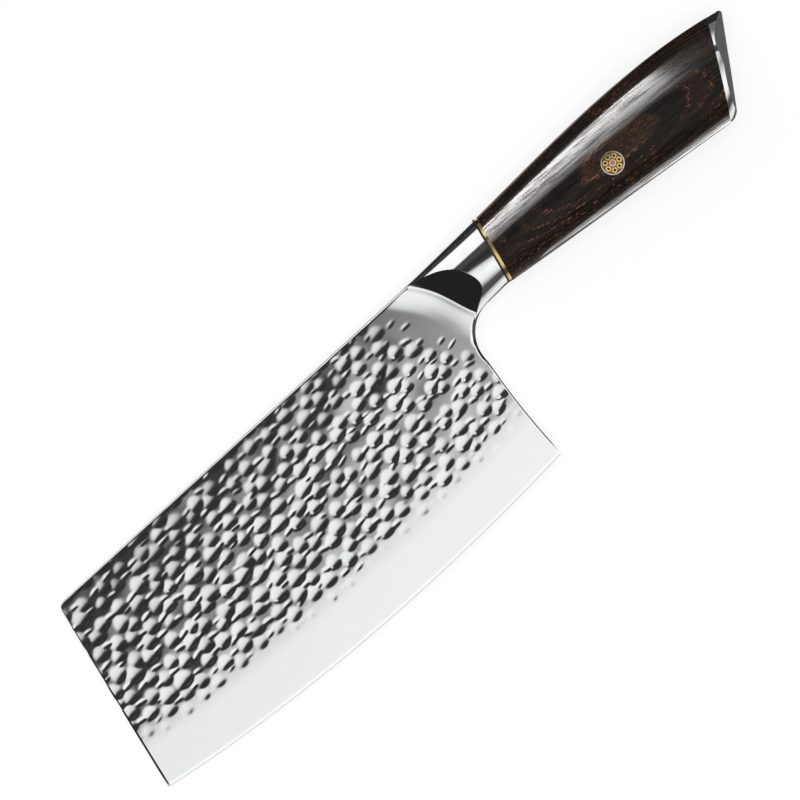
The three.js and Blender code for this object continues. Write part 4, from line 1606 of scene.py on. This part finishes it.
@dataclass
class EndCap:
    """The polished end cap with its leaning, rounded end.

    Attributes:
        handle: The handle that it closes.
        tip: Depth of its end half way up, and tip_lean how much that grows towards the back.
        drop: How much less deep its sides are, below and above the drop_levels.
        pole: Share of its size at which the end's rings close.
        crease: Edges bent by more than this stay crisp.
    """

    handle: Handle
    tip: float = 4.4
    tip_lean: float = 1.3
    drop: Pair = (2.7, 6.0)
    drop_levels: Pair = (0.0, 0.75)
    back_radius: float = 1.8
    belly_radius: float = 3.0
    around: int = 192
    side_steps: int = 28
    dome_steps: int = 28
    pole: float = 0.02
    crease: float = math.radians(14.0)

    def corner_draw(self, depth: Array, tip: float, radius: float) -> Array:
        """How far a rounded corner draws the profile in: a quarter circle at the cap's end.

        Args:
            depth: Depths behind the handle.
            tip: Depth of the end there.
            radius: Radius of the corner.

        Returns:
            Distances.
        """
        run = np.clip(depth - (tip - radius), 0.0, radius)
        return radius - np.sqrt(radius**2 - run**2)

    def end_depth(self, side: Array, rise: Array) -> Array:
        """Depth of the leaning end behind the handle.

        Over the middle plane it changes evenly up the butt. To both sides it drops with the square of the
        distance, and more so near the back.

        Args:
            side: Distances from the blade's plane.
            rise: Levels, from -1 at the belly to 1 at the back.

        Returns:
            Depths.
        """
        low, high = self.drop
        drop = low + (high - low) * smooth_step(*self.drop_levels, rise)
        return self.tip + self.tip_lean * rise - drop * (side / (LAYOUT.butt_width / 2)) ** 2

    def build(self, material: Material) -> Object:
        """Makes the cap: its side up to the ridge where it meets the end, and from there the end.

        Args:
            material: The cap's steel.

        Returns:
            The piece.
        """
        angles = turn_angles(self.around)
        bend = 2.0 / LAYOUT.section_power
        side = LAYOUT.butt_width / 2 * np.sign(np.cos(angles)) * np.abs(np.cos(angles)) ** bend
        rise = np.sign(np.sin(angles)) * np.abs(np.sin(angles)) ** bend
        ridge = self.end_depth(side, rise)
        depth = np.sin(np.linspace(0.0, math.pi / 2, self.side_steps))[:, None] * ridge[None, :]
        half = LAYOUT.butt_height / 2
        back_corner = self.corner_draw(depth, self.tip + self.tip_lean, self.back_radius)
        belly_corner = self.corner_draw(depth, self.tip - self.tip_lean, self.belly_radius)
        high = half + depth * self.handle.end_run(1) - back_corner
        low = -half + depth * self.handle.end_run(-1) + belly_corner
        level = (high + low) / 2 + (high - low) / 2 * rise[None, :]
        sides = np.broadcast_to(side, level.shape)
        band = np.concatenate([LAYOUT.butt.point(depth, level), sides[..., None]], axis=-1)

        shrink = np.linspace(1.0, self.pole, self.dome_steps)[1:, None]
        middle = float((high[-1] + low[-1]).mean() / 2)
        end_depth = self.end_depth(shrink * side[None, :], shrink * rise[None, :])
        end_plane = LAYOUT.butt.point(end_depth, middle + shrink * (level[-1] - middle)[None, :])
        dome = np.concatenate([end_plane, (shrink * side[None, :])[..., None]], axis=-1)
        skin = ring_skin(np.concatenate([band, dome]))
        return add_piece("end_cap", skin, material, Slot.BOLSTER_STEEL, self.crease)


@dataclass
class MosaicPin:
    """The mosaic pin: a sleeve, resin, a ring of filled brass tubes, and a tube with a rod in the middle.

    Attributes:
        handle: The handle that it goes through.
        core: Width of the tubes' black filling.
        resin_web: Thickness of the resin between the tubes.
        resin_overlap: How far the resin runs into the sleeve and the centre tube.
        proud: How far the metal stands above the wood, and resin_sink how far the resin lies below that.
        eye: Radius at which the rings of a solid bar close.
    """

    handle: Handle
    tube_count: int = 7
    core: float = 1.0
    tube_wall: float = 0.375
    resin_web: float = 0.375
    centre_wall: float = 0.3
    sleeve_wall: float = 0.3
    proud: float = 0.05
    resin_sink: float = 0.025
    resin_overlap: float = 0.02
    around: int = 48
    top_rings: int = 5
    eye: float = 0.004

    def bar(self, place: Array, inner: float, outer: float, proud: float) -> Skin:
        """A bar or tube through the handle, with ends that follow the crown of its sides.

        Args:
            place: Its middle.
            inner: Bore radius, 0 for a solid bar.
            outer: Outer radius.
            proud: How far its ends stand above the wood.

        Returns:
            Points and faces.
        """
        angles = turn_angles(self.around)
        radius = np.linspace(max(inner, self.eye), outer, self.top_rings)[:, None]
        x = place[0] + radius * np.cos(angles)[None, :]
        y = place[1] + radius * np.sin(angles)[None, :]
        height = self.handle.crown(x, y) + proud
        top = np.stack([x, y, height], axis=-1)
        below = np.stack([x, y, -height], axis=-1)[::-1]
        return ring_skin(np.concatenate([top, below]), closed=inner > 0)

    def build(self, finishes: dict[Slot, Material]) -> None:
        """Makes the pieces of the pin, from its driving sizes outwards.

        Args:
            finishes: The materials by slot.
        """
        tube = self.core / 2 + self.tube_wall
        circle = (2 * tube + self.resin_web) / (2 * math.sin(math.pi / self.tube_count))
        bore = circle + tube + self.resin_web
        centre_tube = circle - tube - self.resin_web
        rod = centre_tube - self.centre_wall
        middle = LAYOUT.pin_centre
        low = self.proud - self.resin_sink
        resin_in, resin_out = centre_tube - self.resin_overlap, bore + self.resin_overlap
        parts = {
            "pin_sleeve": (middle, bore, bore + self.sleeve_wall, self.proud, Slot.NICKEL_SILVER),
            "pin_resin": (middle, resin_in, resin_out, low, Slot.BRONZE_RESIN),
            "pin_centre_tube": (middle, rod, centre_tube, self.proud, Slot.NICKEL_SILVER),
            "pin_centre_rod": (middle, 0.0, rod, self.proud, Slot.COPPER),
        }
        for number in range(self.tube_count):
            angle = math.pi / 2 + 2 * math.pi * number / self.tube_count
            place = middle + circle * np.array([math.cos(angle), math.sin(angle)])
            parts[f"pin_tube_{number + 1}"] = (place, self.core / 2, tube, self.proud, Slot.BRASS)
            parts[f"pin_core_{number + 1}"] = (place, 0.0, self.core / 2, low, Slot.BLACK_RESIN)
        for name, (place, inner, outer, proud, slot) in parts.items():
            add_piece(name, self.bar(place, inner, outer, proud), finishes[slot], slot)


@dataclass
class Studio:
    """Camera, floor, lamps and surroundings.

    Attributes:
        view_centre: Point under the camera, in millimetres from the heel corner.
        view_width: What the picture's width takes in at the blade, in metres.
        camera_height: Height of the camera above the blade, in metres.
        camera_turn: Turn of the camera about z, in radians.
        bands: Brightness of the surroundings by their angle from straight up, in degrees: negative angles lie
            on the side of the cutting edge and positive ones on the side of the spine.
        slant: How far the bands turn up per angle towards the butt, within a limit.
        lengthwise: Angles towards the toe and the butt between which the bands fade out.
        card_side: Angles towards the butt at which the dark card beside straight up ends.
        card_turns: Angles from straight up between which the card has that side.
        card_beside: Brightness beside the card.
        short_butt: Angles towards the butt between which the low panel beside the spine dims.
        short_turns: Angles from straight up between which that dimming sets in.
        short_level: Brightness that it dims to.
        toe_rise: Angles towards the toe between which the low panel beyond the toe sets in.
        toe_turns: Angles from straight up over which that panel brightens, towards the cutting edge.
        toe_level: Brightness of that panel.
        ambient: Brightness that all the surroundings have at least.
        floor_shade: Share of the floor that takes shadows, and floor_grey its grey.
        toe_contact: How far towards the spine the toe rests on the floor, in metres from the blade's lowest
            y, and toe_half at which share of the plate's half thickness.
        front_contact: How far behind the toe the corner at the spine rests, in metres.
        rest_contact: How far ahead of its rear end and below its middle the handle rests, in metres.
        floor_sink: How far the floor lies below these contacts, in metres.
        sheen_place: What the handle's strip lamp faces, in metres, from sheen_distance away at sheen_turn.
        sheen_span: Angles from straight up between which it lies, and sheen_spread what it shines into.
        glow_place: Where the lamp beside the belly lies.
        flag_lift: How far the flags lie above the floor, in metres.
        flag_front: Where the flag along the back starts, flag_back its distance from the heel corner, and
            flag_seam where it meets the one behind the butt, in millimetres.
        flag_levels: Brightness of the flags at the back, behind the butt and under the belly.
    """

    view_centre: Pair = (-27.76, 49.51)
    view_width: float = 0.2669
    camera_height: float = 2.0
    camera_turn: float = math.radians(-42.5)
    sensor: float = 36.0
    bands: tuple[Pair, ...] = (
        (-95.0, 0.7), (-79.0, 0.6), (-71.0, 0.06), (-48.0, 0.08), (-36.0, 0.75), (-28.0, 1.05),
        (-14.0, 1.15), (-6.0, 1.0), (-4.2, 0.94), (-2.6, 0.82), (-1.4, 0.66), (-0.6, 0.5), (-0.1, 0.36),
        (0.3, 0.2), (0.6, 0.06), (0.85, 0.014), (1.1, 0.01), (1.6, 0.03), (3.0, 0.03), (5.0, 0.012),
        (9.0, 0.015), (13.0, 0.05), (21.0, 0.05), (23.5, 0.01), (25.5, 1.1), (62.0, 1.25), (70.0, 1.1),
        (74.0, 0.03), (95.0, 0.03),
    )
    slant: float = 0.27
    slant_limit: float = math.radians(6.0)
    lengthwise: tuple[float, float, float, float] = (-36.0, -27.0, 40.0, 65.0)
    card_side: Pair = (math.radians(4.0), math.radians(5.5))
    card_turns: tuple[float, float, float, float] = (-2.5, -1.0, 13.5, 15.0)
    card_beside: float = 0.9
    short_butt: Pair = (math.radians(0.5), math.radians(8.0))
    short_turns: Pair = (math.radians(30.0), math.radians(62.0))
    short_level: float = 0.16
    toe_rise: Pair = (math.radians(-61.0), math.radians(-70.0))
    toe_turns: Pair = (math.radians(14.0), math.radians(-30.0))
    toe_level: float = 1.0
    ambient: float = 0.018
    floor_size: float = 6.0
    floor_shade: float = 0.22
    floor_grey: float = 0.86
    toe_contact: float = 0.009
    toe_half: float = 0.25
    front_contact: float = 0.014
    rest_contact: Pair = (0.018, 0.002)
    floor_sink: float = 0.0003
    overhead_height: float = 1.3
    overhead_size: Pair = (1.2, 1.2)
    overhead_power: float = 14.0
    sheen_place: Triple = (-0.13, 0.02, 0.008)
    sheen_turn: float = math.radians(54.0)
    sheen_span: Pair = (math.radians(9.0), math.radians(60.0))
    sheen_length: float = 0.6
    sheen_spread: float = math.radians(92.0)
    sheen_distance: float = 0.4
    sheen_power: float = 22.0
    glow_place: Triple = (0.1, -0.215, -0.0085)
    glow_size: Pair = (0.42, 0.43)
    glow_power: float = 6.5
    flag_lift: float = 0.0002
    flag_front: float = -180.0
    flag_back: float = 91.0
    flag_seam: float = 79.0
    flag_levels: Triple = (0.025, 0.12, 0.1)

    def camera(self) -> None:
        """Makes the camera: straight above, turned so that the knife lies as in the photograph."""
        data = bpy.data.cameras.new("camera")
        data.sensor_width = self.sensor
        data.lens = self.sensor * self.camera_height / self.view_width
        camera = bpy.data.objects.new("camera", data)
        x, y, _ = LAYOUT.to_frame(np.array([*self.view_centre, 0.0]))
        camera.location = (x, y, self.camera_height)
        camera.rotation_euler = (0.0, 0.0, self.camera_turn)
        bpy.context.scene.collection.objects.link(camera)
        bpy.context.scene.camera = camera

    def world(self) -> None:
        """Makes the surroundings: bright and dark panels that run along the knife, white to the camera."""
        world = bpy.data.worlds.new("studio")
        bpy.context.scene.world = world
        world.use_nodes = True
        wiring = Wiring(world.node_tree)
        wiring.tree.nodes.clear()
        direction = wiring.add("ShaderNodeTexCoord").outputs["Generated"]
        axes = wiring.add("ShaderNodeSeparateXYZ", {0: direction}).outputs
        lengthwise = wiring.math("ARCSINE", axes["X"])
        limits = {0: lengthwise, 1: -self.slant_limit, 2: self.slant_limit}
        limited = wiring.add("ShaderNodeClamp", limits).outputs[0]
        slanted = wiring.math("MULTIPLY", limited, self.slant)
        turn = wiring.math("SUBTRACT", wiring.math("ARCTAN2", axes["Y"], axes["Z"]), slanted)
        place = wiring.math("ADD", wiring.math("DIVIDE", turn, 2 * math.pi), 0.5)
        ramp = wiring.add("ShaderNodeValToRGB", {"Fac": place})
        stops = ramp.color_ramp.elements
        for number, (angle, level) in enumerate(self.bands):
            stop = stops[number] if number < len(stops) else stops.new(1.0)
            stop.position = angle / 360.0 + 0.5
            stop.color = grey(level)
        aside = wiring.remap(lengthwise, *self.card_side)
        beside = wiring.math("MULTIPLY", aside, wiring.between(turn, self.card_turns))
        bands = wiring.blend(beside, ramp.outputs["Color"], grey(self.card_beside))
        short = wiring.remap(lengthwise, *self.short_butt)
        dimmed = wiring.math("MULTIPLY", short, wiring.remap(turn, *self.short_turns))
        bands = wiring.blend(dimmed, bands, grey(self.short_level))
        panels = wiring.blend(wiring.between(lengthwise, self.lengthwise), grey(0.0), bands)
        beyond = wiring.remap(lengthwise, *self.toe_rise)
        toe = wiring.math("MULTIPLY", beyond, wiring.remap(turn, *self.toe_turns))
        panels = wiring.blend(toe, panels, grey(self.toe_level))
        around = wiring.add("ShaderNodeVectorMath", {0: panels, 1: (self.ambient,) * 3}, operation="ADD")
        seen = wiring.add("ShaderNodeLightPath").outputs["Is Camera Ray"]
        colour = wiring.blend(seen, around.outputs[0], grey(1.0))
        background = wiring.add("ShaderNodeBackground", {"Color": colour, "Strength": 1.0})
        wiring.add("ShaderNodeOutputWorld", {"Surface": background.outputs[0]})

    def floor_plane(self) -> tuple[Array, Array]:
        """The plane that the knife lies on, through the front of the blade and the handle's lowest side.

        Returns:
            A point of the plane and its upward normal, in metres.
        """
        blade_low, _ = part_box("blade")
        handle_low, handle_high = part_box("handle_block")
        plate = LAYOUT.plate / 2 * MILLIMETRE
        spine = LAYOUT.to_frame(np.array([0.0, LAYOUT.blade_height, 0.0]))[1]
        toe = np.array([blade_low.x, blade_low.y + self.toe_contact, -plate * self.toe_half])
        front = np.array([blade_low.x + self.front_contact, spine, -plate])
        ahead, below = self.rest_contact
        middle = (handle_low.y + handle_high.y) / 2
        rest = np.array([handle_high.x - ahead, middle - below, handle_low.z])
        normal = np.cross(front - rest, toe - rest)
        normal = normal / np.linalg.norm(normal) * np.sign(normal[2])
        return rest - normal * self.floor_sink, normal

    def floor(self) -> None:
        """Makes the pale floor: nearly white to the camera and in reflections, and a share takes shadows."""
        point, normal = self.floor_plane()
        first = np.cross([0.0, 1.0, 0.0], normal)
        first = first / np.linalg.norm(first)
        second = np.cross(normal, first)
        corners = [(-1, -1), (1, -1), (1, 1), (-1, 1)]
        points = np.array([point + (a * first + b * second) * self.floor_size / 2 for a, b in corners])
        mesh = bpy.data.meshes.new("floor")
        mesh.from_pydata(points.tolist(), [], [[0, 1, 2, 3]])
        floor = bpy.data.objects.new("floor", mesh)
        bpy.context.scene.collection.objects.link(floor)

        material = bpy.data.materials.new("pale_floor")
        material.use_nodes = True
        wiring = Wiring(material.node_tree)
        wiring.tree.nodes.clear()
        paths = wiring.add("ShaderNodeLightPath").outputs
        seen = wiring.math("MAXIMUM", paths["Is Camera Ray"], paths["Is Glossy Ray"])
        white = wiring.add("ShaderNodeEmission", {"Color": grey(1.0), "Strength": 1.0}).outputs[0]
        matt = wiring.add("ShaderNodeBsdfDiffuse", {"Color": grey(self.floor_grey)}).outputs[0]
        share = wiring.math("MULTIPLY", seen, 1.0 - self.floor_shade)
        mixed = wiring.add("ShaderNodeMixShader", {0: share, 1: matt, 2: white}).outputs[0]
        wiring.add("ShaderNodeOutputMaterial", {"Surface": mixed})
        mesh.materials.append(material)

    def lamp(self, name: str, place: Array, facing: Array, size: Pair, power: float) -> Object:
        """Adds an area lamp that the camera does not see.

        Args:
            name: Name of the lamp.
            place: Where it hangs, in metres.
            facing: Direction that it shines in.
            size: Its length along x and its width.
            power: Its power in watts.

        Returns:
            The lamp.
        """
        data = bpy.data.lights.new(name, "AREA")
        data.shape = "RECTANGLE"
        data.size, data.size_y = size
        data.energy = power
        lamp = bpy.data.objects.new(name, data)
        lamp.location = place
        lamp.rotation_euler = Vector(facing).to_track_quat("-Z", "Y").to_euler()
        bpy.context.scene.collection.objects.link(lamp)
        lamp.visible_camera = False
        return lamp

    def lamps(self, sheen_takers: list[Object]) -> None:
        """Hangs the lamps: one soft lamp overhead, and two whose sheen shows on the handle only.

        The strip beside the handle is brightest where it faces the handle squarely, low down, and its
        narrow spread lets it fade upwards. The glow lies beside the belly on the floor.

        Args:
            sheen_takers: Pieces that take the sheen.
        """
        down = np.array([0.0, 0.0, -1.0])
        above = np.array([0.0, 0.0, self.overhead_height])
        overhead = self.lamp("overhead", above, down, self.overhead_size, self.overhead_power)
        overhead.visible_glossy = False
        takers = bpy.data.collections.new("sheen_takers")
        for piece in sheen_takers:
            takers.objects.link(piece)

        turn, away = self.sheen_turn, self.sheen_distance
        outward = np.array([0.0, math.sin(turn), math.cos(turn)])
        lower = np.array([0.0, math.cos(turn), -math.sin(turn)])
        first, last = (away * math.tan(angle - turn) for angle in self.sheen_span)
        place = np.array(self.sheen_place) + away * outward + (first + last) / 2 * lower
        size = (self.sheen_length, last - first)
        strip = self.lamp("handle_sheen", place, -outward, size, self.sheen_power)
        strip.data.spread = self.sheen_spread
        glow = self.lamp("belly_glow", np.array(self.glow_place), -down, self.glow_size, self.glow_power)
        for lamp in (strip, glow):
            lamp.visible_diffuse = False
            lamp.light_linking.receiver_collection = takers

    def flag(self, name: str, corners: list[Pair], level: float) -> None:
        """Lays a dark card on the floor that only reflections show.

        Args:
            name: Name of the card.
            corners: Its corners in millimetres from the heel corner.
            level: How bright it shows.
        """
        point, normal = self.floor_plane()
        places = LAYOUT.to_frame(np.array([[x, y, 0.0] for x, y in corners]))
        places[:, 2] = point[2] + self.flag_lift - ((places - point)[:, :2] @ normal[:2]) / normal[2]
        mesh = bpy.data.meshes.new(name)
        mesh.from_pydata(places.tolist(), [], [list(range(len(corners)))])
        material = bpy.data.materials.new(name)
        material.use_nodes = True
        wiring = Wiring(material.node_tree)
        wiring.tree.nodes.clear()
        shade = wiring.add("ShaderNodeEmission", {"Color": grey(1.0), "Strength": level}).outputs[0]
        wiring.add("ShaderNodeOutputMaterial", {"Surface": shade})
        mesh.materials.append(material)
        card = bpy.data.objects.new(name, mesh)
        bpy.context.scene.collection.objects.link(card)
        card.visible_camera = False
        card.visible_diffuse = False
        card.visible_shadow = False

    def flags(self) -> None:
        """Lays the dark cards: along the back of the knife, behind the butt, and close under the belly."""
        far = self.floor_size / 2 / MILLIMETRE
        back_level, butt_level, belly_level = self.flag_levels
        front, side, seam = self.flag_front, self.flag_back, self.flag_seam
        back = [(front, side), (95.0, side), (118.0, seam), (far, seam), (far, far), (front, far)]
        self.flag("back_flag", back, back_level)
        near = [tuple(LAYOUT.butt.point(x, -30.0)) for x in (4.0, 120.0)]
        self.flag("butt_flag", [*near, (far, -26.0), (far, seam), (140.5, seam)], butt_level)
        middle = LAYOUT.middle_line
        corners = [(-26.0, -20.5), (-1.0, -21.5), (0.0, -16.5), (92.0, -19.5), (92.0, 0.0), (-26.0, 0.0)]
        self.flag("belly_flag", [tuple(middle.point(x, y)) for x, y in corners], belly_level)

    def build(self, sheen_takers: list[Object]) -> None:
        """Sets up the studio.

        Args:
            sheen_takers: Pieces that the handle's strip lamp shines on.
        """
        self.camera()
        self.world()
        self.floor()
        self.lamps(sheen_takers)
        self.flags()
        bpy.context.scene.view_settings.view_transform = "Standard"


def main() -> None:
    """Builds the knife piece by piece, and then the studio round it."""
    logging.basicConfig(level=logging.INFO, format="%(name)s: %(message)s")
    finishes = Finishes().build()
    handle = Handle()
    Blade().build(finishes[Slot.BLADE_STEEL])
    Bolster().build(finishes[Slot.BOLSTER_STEEL])
    Spacers().build(finishes)
    wood = handle.build(finishes[Slot.LAMINATED_WOOD])
    EndCap(handle).build(finishes[Slot.BOLSTER_STEEL])
    MosaicPin(handle).build(finishes)
    Studio().build([wood])


if __name__ == "__main__":
    main()
